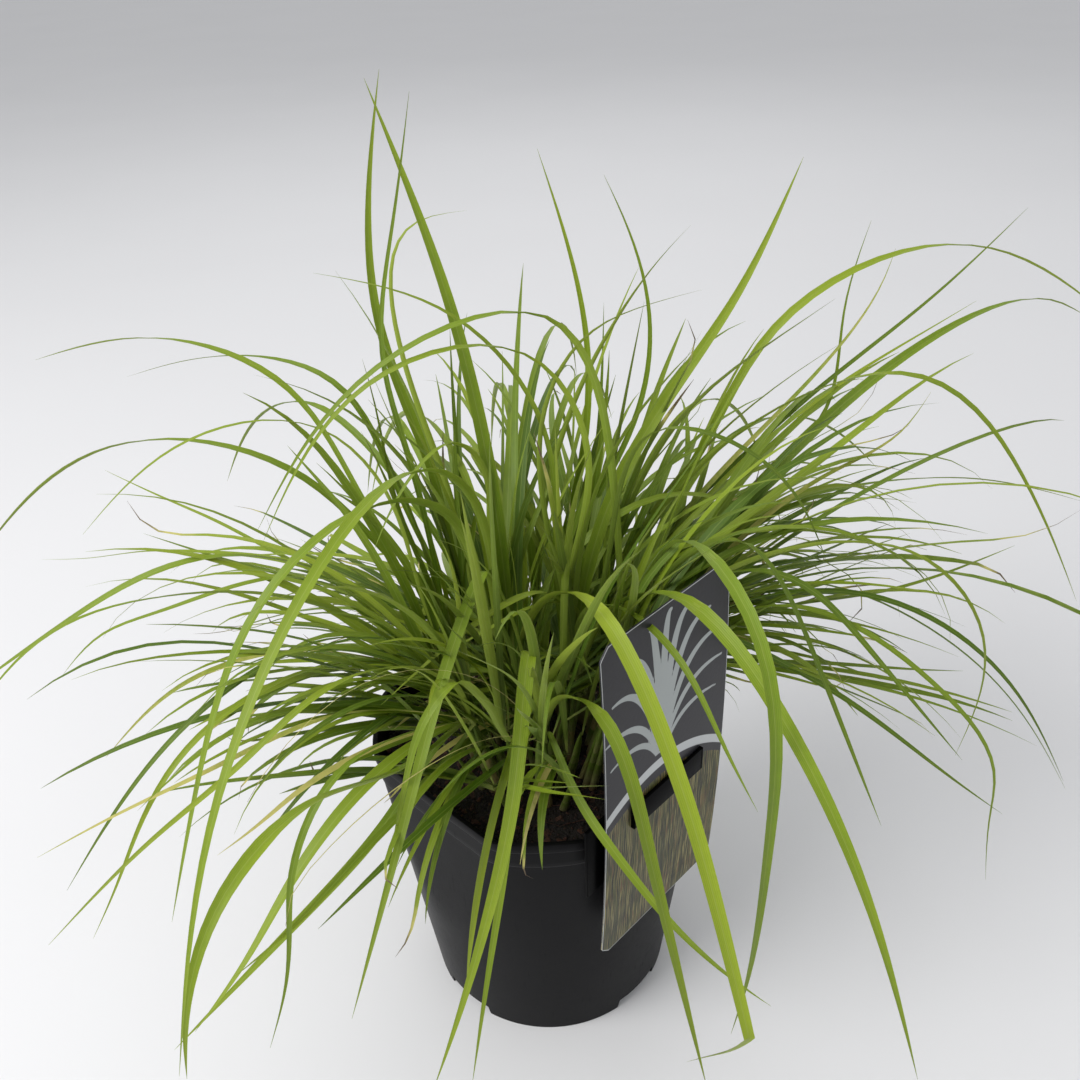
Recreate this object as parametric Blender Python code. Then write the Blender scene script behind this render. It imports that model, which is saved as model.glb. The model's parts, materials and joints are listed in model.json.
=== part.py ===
"""A fountain grass in its nursery pot, with the pot's soil, its plant label and the label's clip.

Metres, +Z up. The origin is on the floor, under the middle of the pot. The front is -Y, where a
short side of the pot's rim faces. A heading is an angle seen from above, in degrees: 0 is the
back (+Y), 90 the right (+X), 180 the front and 270 the left.

The pot is round at the foot and has an eight-sided rim. The grass is a tuft of shoots, each a
roll of leaf sheaths that stands in the soil, and long leaves that grow from the shoots' mouths.
Each leaf's middle line lies in an upright plane through its shoot, apart from a little sway.
"""

import math
from typing import NamedTuple

import bmesh
import bpy
import numpy as np

MM = 0.001
GAP = 0.3 * MM  # left between pieces that touch

# Pot
POT_HEIGHT = 160 * MM
FOOT_RADIUS = 63.5 * MM
CONE_TOP_RADIUS = 82 * MM  # the round body's radius, carried up to the rim
RIM_HALF_WIDTH = 81 * MM  # middle to a short side
RIM_LONG_SIDE = 72 * MM  # middle to a long side
CORNER_BLEND = 3 * MM  # softness of the edges between the rim's sides
WALL = 1.6 * MM
LIP_HEIGHT = 5 * MM
COLLAR_HEIGHT = 15 * MM
LIP_STEP = 0.9 * MM
COLLAR_STEP = 0.4 * MM
FLOOR_RECESS = 5 * MM  # the pot's floor stands this high between its feet
NOTCH_WIDTH = 28 * MM
NOTCH_HEIGHT = 6 * MM
DRAIN_RADIUS = 5 * MM
DRAIN_RING = 38 * MM
POT_SIDES = 56
WALL_RINGS = (30 * MM, 62 * MM, 88 * MM, 108 * MM, 126 * MM, 145 * MM)

# Soil
SOIL_TOP = 145 * MM
SOIL_LUMP = 3.5 * MM
SOIL_CLEAR = 0.9 * MM  # the shrunken root ball's distance from the wall
CROWN = (0.0, -12 * MM)  # middle of the tuft
CROWN_RADIUS = 46 * MM  # the soil is level within it

# Shoots
RING_RADIUS = 31 * MM
RING_LEAN = 13.0  # degrees
SHOOT_HEIGHT = 52 * MM
SHOOT_FOOT = 4.6 * MM
SHOOT_MOUTH = 3.6 * MM
SHOOT_SIDES = 7

# Leaves
LEAF_STATIONS = 12
LEAF_THICKNESS = 0.7 * MM
LEAF_FOLD = 0.16  # how far the edges stand over the keel, as a share of the width
LEAF_SPACING = 1.65 * MM  # between the roots of the leaves in one shoot's mouth
LEAF_WIDEST = 0.34  # share of the length

# Label and its clip, on the long side of the rim at the front right
LABEL_HEADING = 135.0
LABEL_WIDTH = 83 * MM
LABEL_SHIFT = -2 * MM  # along the rim, to the right
LABEL_BOTTOM = 86 * MM
LABEL_TOP = 266 * MM
LABEL_THICKNESS = 0.8 * MM
LABEL_BOW = 3 * MM  # the middle stands out this far past the ends
LABEL_CORNER = 5 * MM
CLIP_PLATE = 1.6 * MM
CLIP_LEFT = -51 * MM
CLIP_RIGHT = 40 * MM
CLIP_BOTTOM = 134 * MM
CLIP_HOOK = 12 * MM  # how far it reaches down inside the rim
TONGUE_LEFT = -27 * MM
TONGUE_RIGHT = 22 * MM
TONGUE_BOTTOM = 161 * MM
TONGUE_HEIGHT = 13 * MM
FLUSH = 0.1 * MM  # a joined box stands back this far from a face, so that no two faces coincide

# Colours
POT_BLACK = (0.012, 0.012, 0.014, 1)
SOIL_BROWN = (0.030, 0.016, 0.010, 1)
CARD_GREY = (0.045, 0.045, 0.050, 1)
CLIP_BLACK = (0.008, 0.008, 0.009, 1)
SHEATH_GREEN = (0.20, 0.30, 0.05, 1)
LEAF_LIME = (0.28, 0.42, 0.04, 1)


class Leaf(NamedTuple):
    """One long leaf. Points are (reach from the shoot's mouth, height over the floor), in mm."""

    shoot: str
    heading: float
    through: tuple
    width: float
    sway: float = 0.0  # how far the tip stands off the leaf's plane, in mm, clockwise from above


SHOOT_RING = (
    "back",
    "back_right",
    "right",
    "front_right",
    "front",
    "front_left",
    "left",
    "back_left",
)
INNER_SHOOTS = {"inner_left": (-11 * MM, -8 * MM), "inner_right": (12 * MM, -14 * MM)}

LEAVES = (
    # Upright leaves, left of the middle
    Leaf("back_left", 280, ((14, 292), (29, 358), (27, 405), (17, 452)), 3.7),
    Leaf("inner_left", 287, ((0, 250), (3, 302), (15, 378), (38, 452)), 4.3),
    Leaf("left", 275, ((1, 250), (6, 312), (11, 357), (1, 408), (-9, 450)), 2.6),
    Leaf("back_left", 262, ((8, 285), (19, 340), (9, 398), (-11, 401)), 3.1),
    # Arches to the left
    Leaf("inner_right", 275, ((5, 260), (10, 327), (45, 373), (92, 388)), 2.3),
    Leaf("right", 262, ((8, 305), (35, 371), (91, 362), (153, 294)), 3.4),
    Leaf("inner_right", 260, ((0, 250), (-9, 305), (18, 358), (65, 357), (124, 290)), 3.2),
    Leaf("back_left", 281, ((42, 262), (75, 327), (128, 346), (190, 334)), 3.2),
    Leaf("back_left", 292, ((31, 271), (57, 323), (97, 331), (172, 312)), 2.9),
    Leaf("left", 268, ((9, 250), (18, 300), (40, 328), (79, 330), (142, 286)), 2.2),
    Leaf("back_left", 272, ((29, 234), (73, 290), (140, 307), (234, 242)), 3.3),
    Leaf("left", 265, ((34, 252), (90, 274), (154, 250), (214, 212)), 3.5),
    Leaf("left", 256, ((50, 250), (108, 268), (152, 262), (196, 226)), 3.2),
    # Lower leaves at the front left
    Leaf("inner_left", 210, ((5, 245), (18, 298), (56, 329), (122, 316), (178, 265), (215, 187)), 5.0),
    Leaf("inner_left", 232, ((10, 245), (24, 290), (52, 307), (102, 293), (144, 232), (173, 162)), 5.4),
    Leaf("front_left", 234, ((20, 236), (63, 250), (101, 235), (138, 221), (181, 198)), 3.0),
    Leaf("left", 240, ((45, 240), (104, 232), (141, 206), (176, 168)), 3.0),
    Leaf("left", 248, ((30, 219), (73, 237), (112, 234), (147, 209)), 2.8),
    Leaf("front_left", 226, ((15, 198), (43, 180), (92, 158), (159, 138)), 4.6),
    Leaf("inner_left", 201, ((9, 227), (16, 262), (48, 254), (103, 213), (164, 163)), 5.2),
    # Leaves that hang over the front of the pot
    Leaf("front", 180, ((5, 246), (17, 256), (35, 217), (60, 170), (95, 98)), 6.2, 50),
    Leaf("front", 150, ((18, 233), (43, 243), (73, 200), (94, 140), (112, 88)), 5.8, -6),
    Leaf("inner_left", 150, ((30, 252), (71, 276), (113, 249), (150, 191), (175, 137)), 6.4),
    Leaf("right", 160, ((16, 255), (52, 297), (93, 291), (117, 208), (113, 111), (106, 64)), 4.5),
    Leaf("inner_right", 143, ((26, 250), (69, 276), (115, 254), (167, 190), (197, 127)), 6.0),
    Leaf("right", 130, ((20, 260), (51, 286), (84, 249), (124, 174)), 3.4),
    # Leaves to the right
    Leaf("right", 106, ((20, 242), (59, 259), (100, 228), (149, 170)), 3.2),
    Leaf("right", 101, ((25, 242), (61, 266), (112, 270), (147, 233), (149, 160)), 3.6),
    Leaf("right", 80, ((60, 218), (122, 219), (186, 234)), 2.6),
    Leaf("right", 105, ((25, 222), (62, 213), (98, 193), (147, 156), (172, 138)), 2.8),
    Leaf("right", 98, ((30, 228), (95, 244), (163, 203), (203, 140)), 2.6),
    Leaf("back_right", 85, ((20, 228), (50, 248), (109, 264), (178, 263), (237, 244)), 2.9),
    Leaf("back_right", 92, ((22, 250), (69, 308), (130, 327), (186, 278), (227, 207)), 3.0),
    Leaf("back_right", 75, ((32, 219), (79, 262), (144, 314), (224, 332), (244, 322)), 5.8),
    Leaf("back_right", 82, ((10, 232), (41, 279), (78, 346), (147, 373), (236, 330)), 3.8),
    Leaf("inner_right", 94, ((17, 269), (36, 322), (74, 311), (109, 258)), 2.8),
    # Upright leaves, right of the middle
    Leaf("inner_right", 60, ((18, 277), (41, 313), (84, 360), (114, 410)), 5.8),
    Leaf("back", 60, ((30, 285), (32, 335), (10, 419)), 3.4),
    Leaf("back_right", 72, ((24, 236), (60, 268), (110, 305), (165, 340), (208, 374)), 2.4),
    # Leaves to the back
    Leaf("back", 352, ((10, 235), (35, 262), (85, 282), (130, 258), (168, 205)), 3.8),
    Leaf("back", 18, ((10, 240), (32, 270), (80, 288), (125, 270), (165, 226)), 3.4),
    Leaf("back_left", 335, ((8, 230), (30, 255), (80, 278), (125, 250), (160, 196)), 3.6),
    Leaf("back_left", 312, ((10, 232), (35, 262), (95, 292), (150, 270), (195, 216)), 3.4),
    Leaf("back_right", 38, ((8, 232), (32, 260), (85, 282), (135, 258), (176, 202)), 3.8),
    Leaf("back_right", 55, ((12, 230), (38, 252), (100, 276), (155, 256), (205, 213)), 3.2),
    Leaf("inner_left", 330, ((8, 250), (24, 285), (66, 300), (116, 268), (150, 215)), 3.2),
)


def heading_vector(heading: float) -> np.ndarray:
    turn = math.radians(heading)
    return np.array((math.sin(turn), math.cos(turn), 0.0))


def material(name: str, colour: tuple, roughness: float) -> bpy.types.Material:
    made = bpy.data.materials.new(name)
    made.use_nodes = True
    shader = made.node_tree.nodes["Principled BSDF"]
    shader.inputs["Base Color"].default_value = colour
    shader.inputs["Roughness"].default_value = roughness
    shader.inputs["Metallic"].default_value = 0
    return made


def place(name: str, mesh, collection, finish) -> bpy.types.Object:
    """Makes an object of a bmesh, in a collection, with one material."""
    data = bpy.data.meshes.new(name)
    mesh.normal_update()
    bmesh.ops.recalc_face_normals(mesh, faces=mesh.faces)
    mesh.to_mesh(data)
    mesh.free()
    data.shade_smooth()
    data.set_sharp_from_angle(angle=math.radians(35))
    data.materials.append(finish)
    made = bpy.data.objects.new(name, data)
    collection.objects.link(made)
    return made


def loft(rings: list, closed_start: bool = True, closed_end: bool = True):
    """A bmesh skinned over rings of points. An end is closed by a face, or by a fan to one point."""
    mesh = bmesh.new()
    loops = [[mesh.verts.new(point) for point in ring] for ring in rings]
    for below, above in zip(loops, loops[1:]):
        count = max(len(below), len(above))
        for i in range(count):
            j = (i + 1) % count
            if len(above) == 1:
                mesh.faces.new((below[i], below[j], above[0]))
            elif len(below) == 1:
                mesh.faces.new((below[0], above[j], above[i]))
            else:
                mesh.faces.new((below[i], below[j], above[j], above[i]))
    if closed_start and len(loops[0]) > 2:
        mesh.faces.new(loops[0][::-1])
    if closed_end and len(loops[-1]) > 2:
        mesh.faces.new(loops[-1])
    return mesh


def soft_least(values: list, blend: float) -> np.ndarray:
    """The least of some lengths, with the change from one to the next rounded off."""
    stack = np.array(values)
    least = stack.min(axis=0)
    return least - blend * np.log(np.exp(-(stack - least) / blend).sum(axis=0))


def pot_ring(height: float, offset: float, sides: int) -> list:
    """Points round the pot at a height, moved out by an offset. The round body is cut by the sides."""
    turn = np.arange(sides) * 2 * math.pi / sides
    cone = FOOT_RADIUS + (CONE_TOP_RADIUS - FOOT_RADIUS) * height / POT_HEIGHT
    lengths = [np.full(sides, cone)]
    for side in range(8):
        away = RIM_HALF_WIDTH if side % 2 == 0 else RIM_LONG_SIDE
        facing = np.maximum(np.cos(turn - side * math.pi / 4), 0.2)
        lengths.append(away / facing)
    radius = soft_least(lengths, CORNER_BLEND / 4) + offset
    return [(r * math.cos(a), r * math.sin(a), height) for r, a in zip(radius, turn)]


def build_pot(collection, cutters) -> bpy.types.Object:
    lip = POT_HEIGHT - LIP_HEIGHT
    collar = POT_HEIGHT - COLLAR_HEIGHT
    outside = [
        (0.0, 0.0),
        *((height, 0.0) for height in WALL_RINGS[:-1]),
        (collar - 0.5 * MM, 0.0),
        (collar, COLLAR_STEP),
        (lip - 0.5 * MM, COLLAR_STEP),
        (lip, LIP_STEP),
        (POT_HEIGHT, LIP_STEP),
    ]
    inside = [(POT_HEIGHT, -WALL)]
    inside += [(height, -WALL) for height in reversed(WALL_RINGS)]
    inside += [(FLOOR_RECESS + WALL, -WALL)]
    rings = [pot_ring(height, offset, POT_SIDES) for height, offset in outside + inside]
    middle_top = [(0.0, 0.0, FLOOR_RECESS + WALL)]
    underside = [[(0.0, 0.0, FLOOR_RECESS)]]
    underside += [pot_ring(FLOOR_RECESS, -WALL, POT_SIDES), pot_ring(0.0, -WALL, POT_SIDES)]
    mesh = loft(underside + rings + [middle_top])
    pot = place("pot", mesh, collection, material("pot_plastic", POT_BLACK, 0.42))
    for number in range(4):
        turn = math.radians(45 + 90 * number)
        cut_notch(pot, cutters, turn, number)
        cut_drain(pot, cutters, turn + math.radians(45), number)
    return pot


def cutter(name: str, target, cutters) -> bpy.types.Object:
    """Takes the object just added by an operator as a cutter of the target."""
    made = bpy.context.active_object
    made.name = name
    for collection in list(made.users_collection):
        collection.objects.unlink(made)
    cutters.objects.link(made)
    combine(target, made, "DIFFERENCE")
    return made


def cut_notch(pot, cutters, turn: float, number: int) -> None:
    place_at = (FOOT_RADIUS * math.cos(turn), FOOT_RADIUS * math.sin(turn), 0)
    bpy.ops.mesh.primitive_cube_add(size=1, location=place_at, rotation=(0, 0, turn))
    block = cutter(f"notch_{number + 1}", pot, cutters)
    block.scale = (12 * MM, NOTCH_WIDTH, 2 * NOTCH_HEIGHT)


def cut_drain(pot, cutters, turn: float, number: int) -> None:
    place_at = (DRAIN_RING * math.cos(turn), DRAIN_RING * math.sin(turn), FLOOR_RECESS)
    # Turned a little, so that no corner of it falls on an edge of the pot's floor.
    bpy.ops.mesh.primitive_cylinder_add(
        vertices=16,
        radius=DRAIN_RADIUS,
        depth=8 * MM,
        location=place_at,
        rotation=(0, 0, turn + 0.13),
    )
    cutter(f"drain_{number + 1}", pot, cutters)


def soil_height(x: float, y: float) -> float:
    """The soil's top, level round the shoots and lumpy near the wall."""
    away = math.hypot(x - CROWN[0], y - CROWN[1])
    rough = min(max((away - CROWN_RADIUS) / (18 * MM), 0.0), 1.0)
    lumps = math.sin(x / MM * 0.21 + 1) * math.cos(y / MM * 0.26) + 0.5 * math.sin((x + y) / MM * 0.4)
    return SOIL_TOP + SOIL_LUMP * rough * (0.6 * lumps - 0.5)


def build_soil(collection) -> bpy.types.Object:
    inset = WALL + SOIL_CLEAR
    heights = (FLOOR_RECESS + WALL + GAP, *WALL_RINGS[:-1], SOIL_TOP - 6 * MM)
    rings = [pot_ring(height, -inset, POT_SIDES) for height in heights]
    edge = pot_ring(SOIL_TOP, -inset, POT_SIDES)
    for share in (0.988, 0.86, 0.7, 0.5, 0.25):
        ring = [(x * share, y * share) for x, y, _ in edge]
        rings.append([(x, y, soil_height(x, y)) for x, y in ring])
    rings.append([(0.0, 0.0, SOIL_TOP)])
    return place("soil", loft(rings), collection, material("peat", SOIL_BROWN, 0.95))


def shoot_line(name: str) -> tuple:
    """Foot and mouth of a shoot, as two points, and the way it leans."""
    if name in INNER_SHOOTS:
        x, y = INNER_SHOOTS[name]
        lean = 0.3 * math.tan(math.radians(RING_LEAN))
        out = np.array((x - CROWN[0], y - CROWN[1], 0.0))
        out /= np.linalg.norm(out)
    else:
        lean = math.tan(math.radians(RING_LEAN))
        out = heading_vector(45 * SHOOT_RING.index(name))
        x, y, _ = out * RING_RADIUS + np.array((*CROWN, 0.0))
    foot = np.array((x, y, SOIL_TOP + GAP))
    mouth = foot + out * SHOOT_HEIGHT * lean + np.array((0, 0, SHOOT_HEIGHT))
    return foot, mouth, out


def build_shoot(name: str, collection, finish) -> bpy.types.Object:
    foot, mouth, _ = shoot_line(name)
    rings = []
    for share, radius in ((0.0, SHOOT_FOOT), (0.5, 0.9 * SHOOT_FOOT), (1.0, SHOOT_MOUTH)):
        middle = foot + (mouth - foot) * share
        turns = [2 * math.pi * i / SHOOT_SIDES for i in range(SHOOT_SIDES)]
        rings.append([middle + radius * np.array((math.cos(a), math.sin(a), 0)) for a in turns])
    return place(f"shoot_{name}", loft(rings), collection, finish)


def rim_frame() -> tuple:
    """A point on the floor below the label's side of the rim, the way along it and the way out."""
    out = heading_vector(LABEL_HEADING)
    along = heading_vector(LABEL_HEADING - 90)
    return out * (RIM_LONG_SIDE + LIP_STEP), along, out


def build_slab(name: str, spans: tuple, collection, finish) -> bpy.types.Object:
    """A box at the rim: its spans are along the rim, out from the pot, and in height."""
    start, along, out = rim_frame()
    mesh = bmesh.new()
    bmesh.ops.create_cube(mesh, size=1)
    for vert in mesh.verts:
        t, o, z = (low + (high - low) * (at + 0.5) for (low, high), at in zip(spans, vert.co))
        vert.co = start + along * t + out * o + np.array((0, 0, z))
    return place(name, mesh, collection, finish)


def combine(target, other, operation: str) -> None:
    """Joins a helper to the target, or cuts it out, by a Boolean."""
    other.hide_render = True
    other.display_type = "WIRE"
    joint = target.modifiers.new(other.name, "BOOLEAN")
    joint.operation = operation
    joint.solver = "EXACT"
    joint.object = other


def build_clip(collection, helpers) -> bpy.types.Object:
    """A plate behind the card that hooks over the rim, with a bar that holds the card in front."""
    bridge = (POT_HEIGHT + GAP, POT_HEIGHT + GAP + CLIP_PLATE)
    hook = -(WALL + LIP_STEP + GAP)
    middle = GAP + CLIP_PLATE / 2
    bar = GAP + CLIP_PLATE + 2 * GAP + LABEL_BOW + LABEL_THICKNESS
    bar_top = TONGUE_BOTTOM + TONGUE_HEIGHT
    width = (TONGUE_LEFT, TONGUE_RIGHT)
    inset = (TONGUE_LEFT + FLUSH, TONGUE_RIGHT - FLUSH)
    finish = material("clip_plastic", CLIP_BLACK, 0.2)
    plate = ((CLIP_LEFT, CLIP_RIGHT), (GAP, GAP + CLIP_PLATE), (CLIP_BOTTOM, bar_top + FLUSH))
    clip = build_slab("label_clip", plate, collection, finish)
    pieces = {
        "clip_bridge": (width, (hook - CLIP_PLATE, middle), bridge),
        "clip_hook": (inset, (hook - CLIP_PLATE + FLUSH, hook), (POT_HEIGHT - CLIP_HOOK, bridge[1] - FLUSH)),
        "clip_bar": (width, (bar, bar + CLIP_PLATE), (TONGUE_BOTTOM, bar_top)),
    }
    for number, left in enumerate((TONGUE_LEFT + FLUSH, TONGUE_RIGHT - CLIP_PLATE - FLUSH), 1):
        height = (TONGUE_BOTTOM + FLUSH, bar_top - FLUSH)
        spans = ((left, left + CLIP_PLATE), (middle, bar + CLIP_PLATE / 2), height)
        pieces[f"clip_arm_{number}"] = spans
    for name, spans in pieces.items():
        combine(clip, build_slab(name, spans, helpers, finish), "UNION")
    return clip


def build_label(collection, helpers) -> bpy.types.Object:
    """The card: a little bowed, its corners cut, with a slit for each of the clip's arms."""
    start, along, out = rim_frame()
    finish = material("label_card", CARD_GREY, 0.45)
    inner = GAP + CLIP_PLATE + GAP
    span = LABEL_TOP - LABEL_BOTTOM
    rings = []
    for share in (0.0, LABEL_CORNER / span, 0.2, 0.35, 0.5, 0.65, 0.8, 1 - LABEL_CORNER / span, 1.0):
        half = LABEL_WIDTH / 2 - (LABEL_CORNER if share in (0.0, 1.0) else 0)
        bowed = inner + LABEL_BOW * (1 - (2 * share - 1) ** 2)
        ring = []
        for side, depth in ((-1, 0), (1, 0), (1, LABEL_THICKNESS), (-1, LABEL_THICKNESS)):
            flat = start + along * (LABEL_SHIFT + side * half) + out * (bowed + depth)
            ring.append(flat + np.array((0, 0, LABEL_BOTTOM + span * share)))
        rings.append(ring)
    label = place("label", loft(rings), collection, finish)
    for number, left in enumerate((TONGUE_LEFT + FLUSH, TONGUE_RIGHT - CLIP_PLATE - FLUSH), 1):
        across = (left - GAP, left + CLIP_PLATE + GAP)
        height = (TONGUE_BOTTOM - GAP, TONGUE_BOTTOM + TONGUE_HEIGHT + GAP)
        slit = build_slab(f"label_slit_{number}", (across, (GAP, 12 * MM), height), helpers, finish)
        combine(label, slit, "DIFFERENCE")
    return label


def root_offset(leaf: Leaf) -> np.ndarray:
    """Where the leaf's root stands in its shoot's mouth: in one row, in the order of their leans."""
    _, _, out = shoot_line(leaf.shoot)
    mates = [other for other in LEAVES if other.shoot == leaf.shoot]
    leans = [
        other.through[0][0] / (other.through[0][1] - 180) * heading_vector(other.heading) @ out
        for other in mates
    ]
    rank = sum(lean < leans[mates.index(leaf)] for lean in leans)
    return out * (rank - (len(mates) - 1) / 2) * LEAF_SPACING


def spline(knots: np.ndarray, shares: np.ndarray) -> np.ndarray:
    """Points at shares of the length of a natural cubic spline through the knots."""
    steps = np.linalg.norm(np.diff(knots, axis=0), axis=1)
    pace = np.concatenate(((0.0,), np.cumsum(steps))) / steps.sum()
    gaps = np.diff(pace)
    system = np.eye(len(pace))
    slopes = np.diff(knots, axis=0) / gaps[:, None]
    bends = np.zeros_like(knots)
    for i in range(1, len(pace) - 1):
        system[i, i - 1 : i + 2] = gaps[i - 1], 2 * (gaps[i - 1] + gaps[i]), gaps[i]
        bends[i] = 6 * (slopes[i] - slopes[i - 1])
    bends = np.linalg.solve(system, bends)
    span = np.clip(np.searchsorted(pace, shares, side="right") - 1, 0, len(gaps) - 1)
    width = gaps[span][:, None]
    after = (shares - pace[span])[:, None]
    before = width - after
    curved = (before**3 * bends[span] + after**3 * bends[span + 1]) / (6 * width)
    start = (knots[span] / width - bends[span] * width / 6) * before
    end = (knots[span + 1] / width - bends[span + 1] * width / 6) * after
    return curved + start + end


def leaf_line(leaf: Leaf, shares: np.ndarray) -> np.ndarray:
    """Points on a leaf's middle line, a spline through its root and its own points."""
    _, mouth, _ = shoot_line(leaf.shoot)
    knots = np.array(((0, mouth[2] + 2 * GAP), *(np.array(leaf.through) * MM)))
    reach, height = spline(knots, shares).T
    along = heading_vector(leaf.heading)
    across = heading_vector(leaf.heading + 90)
    line = mouth + np.outer(reach, along) + np.outer(leaf.sway * MM * shares**2, across)
    line += np.outer((1 - shares) ** 3, root_offset(leaf))
    line[:, 2] = height
    return line


def leaf_half_width(leaf: Leaf, share: float) -> float:
    """Narrow at the root, widest at a third of the length, then a long taper to the point."""
    if share < LEAF_WIDEST:
        fullness = 0.32 + 0.68 * math.sin(share / LEAF_WIDEST * math.pi / 2)
    else:
        fullness = (1 - ((share - LEAF_WIDEST) / (1 - LEAF_WIDEST)) ** 1.8) ** 0.9
    return 0.5 * leaf.width * MM * fullness


def build_leaf(name: str, leaf: Leaf, collection, finish) -> bpy.types.Object:
    shares = np.linspace(0, 1, LEAF_STATIONS)
    line = leaf_line(leaf, shares)
    tangents = np.gradient(line, axis=0)
    across = heading_vector(leaf.heading + 90)
    rings = []
    for share, middle, tangent in zip(shares[:-1], line, tangents):
        upper = np.cross(across, tangent)
        upper /= np.linalg.norm(upper)
        side = across * leaf_half_width(leaf, share)
        fold = upper * LEAF_FOLD * leaf_half_width(leaf, share) * 2
        half = upper * LEAF_THICKNESS / 2
        rings.append([middle + side + fold, middle + half, middle - side + fold, middle - half])
    rings.append([line[-1]])
    return place(name, loft(rings), collection, finish)


def main() -> None:
    for old in list(bpy.data.objects):
        bpy.data.objects.remove(old)
    parts = bpy.data.collections.new("potted_fountain_grass")
    cutters = bpy.data.collections.new("cutters")
    for collection in (parts, cutters):
        bpy.context.scene.collection.children.link(collection)
    cutters.hide_render = True
    build_pot(parts, cutters)
    build_soil(parts)
    build_clip(parts, cutters)
    build_label(parts, cutters)
    sheath = material("sheath", SHEATH_GREEN, 0.5)
    for name in (*SHOOT_RING, *INNER_SHOOTS):
        build_shoot(name, parts, sheath)
    blade = material("blade", LEAF_LIME, 0.45)
    for number, leaf in enumerate(LEAVES, 1):
        build_leaf(f"leaf_{number:02d}", leaf, parts, blade)


if __name__ == "__main__":
    main()
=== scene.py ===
"""Looks of a fountain grass in its nursery pot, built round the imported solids.

Metres, +Z up. The origin is on the floor, under the middle of the pot, and the front is -Y. A
heading is an angle seen from above, in degrees: 0 is the back (+Y), 90 the right (+X), 180 the
front and 270 the left. Every blade, sheath and root is a line that one Geometry Nodes tree sweeps
with a folded section, and every crumb and chip is scattered over the soil by another tree.
"""

from __future__ import annotations

import json
import logging
import math
from dataclasses import dataclass, field
from enum import Enum
from typing import NamedTuple

import bmesh
import bpy
import numpy as np
from mathutils import Matrix, Vector, noise

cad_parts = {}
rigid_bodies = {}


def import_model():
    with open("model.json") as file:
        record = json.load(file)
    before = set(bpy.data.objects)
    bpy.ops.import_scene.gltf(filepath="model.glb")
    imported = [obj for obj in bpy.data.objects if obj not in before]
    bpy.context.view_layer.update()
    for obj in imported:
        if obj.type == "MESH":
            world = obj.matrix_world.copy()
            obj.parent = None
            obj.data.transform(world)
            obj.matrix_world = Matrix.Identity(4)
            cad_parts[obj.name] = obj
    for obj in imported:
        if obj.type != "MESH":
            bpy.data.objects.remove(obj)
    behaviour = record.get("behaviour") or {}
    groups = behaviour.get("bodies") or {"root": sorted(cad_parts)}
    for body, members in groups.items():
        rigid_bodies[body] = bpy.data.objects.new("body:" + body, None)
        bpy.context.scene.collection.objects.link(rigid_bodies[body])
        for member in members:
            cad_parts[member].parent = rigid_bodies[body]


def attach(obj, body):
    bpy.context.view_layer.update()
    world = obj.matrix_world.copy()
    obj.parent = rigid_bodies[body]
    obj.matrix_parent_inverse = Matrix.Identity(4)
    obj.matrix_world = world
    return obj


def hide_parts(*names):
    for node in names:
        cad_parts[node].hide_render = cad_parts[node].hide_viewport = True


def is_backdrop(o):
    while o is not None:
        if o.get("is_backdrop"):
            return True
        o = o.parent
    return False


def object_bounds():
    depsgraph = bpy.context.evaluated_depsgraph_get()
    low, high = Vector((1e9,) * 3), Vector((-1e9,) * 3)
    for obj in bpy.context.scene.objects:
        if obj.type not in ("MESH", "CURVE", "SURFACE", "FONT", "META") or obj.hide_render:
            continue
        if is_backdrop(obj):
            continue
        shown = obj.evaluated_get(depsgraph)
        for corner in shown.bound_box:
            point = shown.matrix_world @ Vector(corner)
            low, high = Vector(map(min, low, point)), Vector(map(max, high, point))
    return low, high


LOG = logging.getLogger("fountain_grass")
MM = 0.001
GAP = 0.3 * MM
Colour = tuple[float, float, float]
Span = tuple[float, float]
Chance = np.random.Generator
Material = bpy.types.Material
Mesh = bpy.types.Mesh
Piece = bpy.types.Object
Node = bpy.types.Node
NodeTree = bpy.types.NodeTree
Socket = bpy.types.NodeSocket

# Pot
POT_HEIGHT = 160 * MM
FOOT_RADIUS = 63.5 * MM
CONE_TOP_RADIUS = 82 * MM
RIM_HALF_WIDTH = 81 * MM
RIM_LONG_SIDE = 72 * MM
CORNER_BLEND = 3 * MM
WALL = 1.6 * MM
LIP_HEIGHT = 5 * MM
COLLAR_HEIGHT = 15 * MM
LIP_STEP = 0.9 * MM
COLLAR_STEP = 0.4 * MM
FLOOR_RECESS = 5 * MM

# Soil and crown
SOIL_TOP = 145 * MM
SOIL_LUMP = 3.5 * MM
SOIL_EDGE = 18 * MM
SOIL_CLEAR = 0.9 * MM
CROWN = (0.0, -12 * MM)
CROWN_RADIUS = 46 * MM

# Shoots
RING_RADIUS = 31 * MM
RING_LEAN = 13.0
SHOOT_HEIGHT = 52 * MM
SHOOT_FOOT = 4.6 * MM
SHOOT_MOUTH = 3.6 * MM
LEAF_SPACING = 1.65 * MM
LEAF_WIDEST = 0.34
LEAN_FROM = 180  # mm over the floor, where the order of the roots is told by the leans

# Label and clip
LABEL_HEADING = 135.0
LABEL_WIDTH = 83 * MM
LABEL_SHIFT = -2 * MM
LABEL_BOTTOM = 86 * MM
LABEL_TOP = 266 * MM
LABEL_THICKNESS = 0.8 * MM
LABEL_BOW = 3 * MM
LABEL_CORNER = 5 * MM
CLIP_PLATE = 1.6 * MM


class Tone(Enum):
    """A leaf's colour, from deep green to straw, as (place on the green scale, dryness)."""

    DEEP = (0.1, 0.0)
    GREEN = (0.4, 0.0)
    FRESH = (0.7, 0.0)
    LIME = (0.95, 0.04)
    YELLOW = (0.8, 0.34)
    STRAW = (0.6, 0.62)


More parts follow.
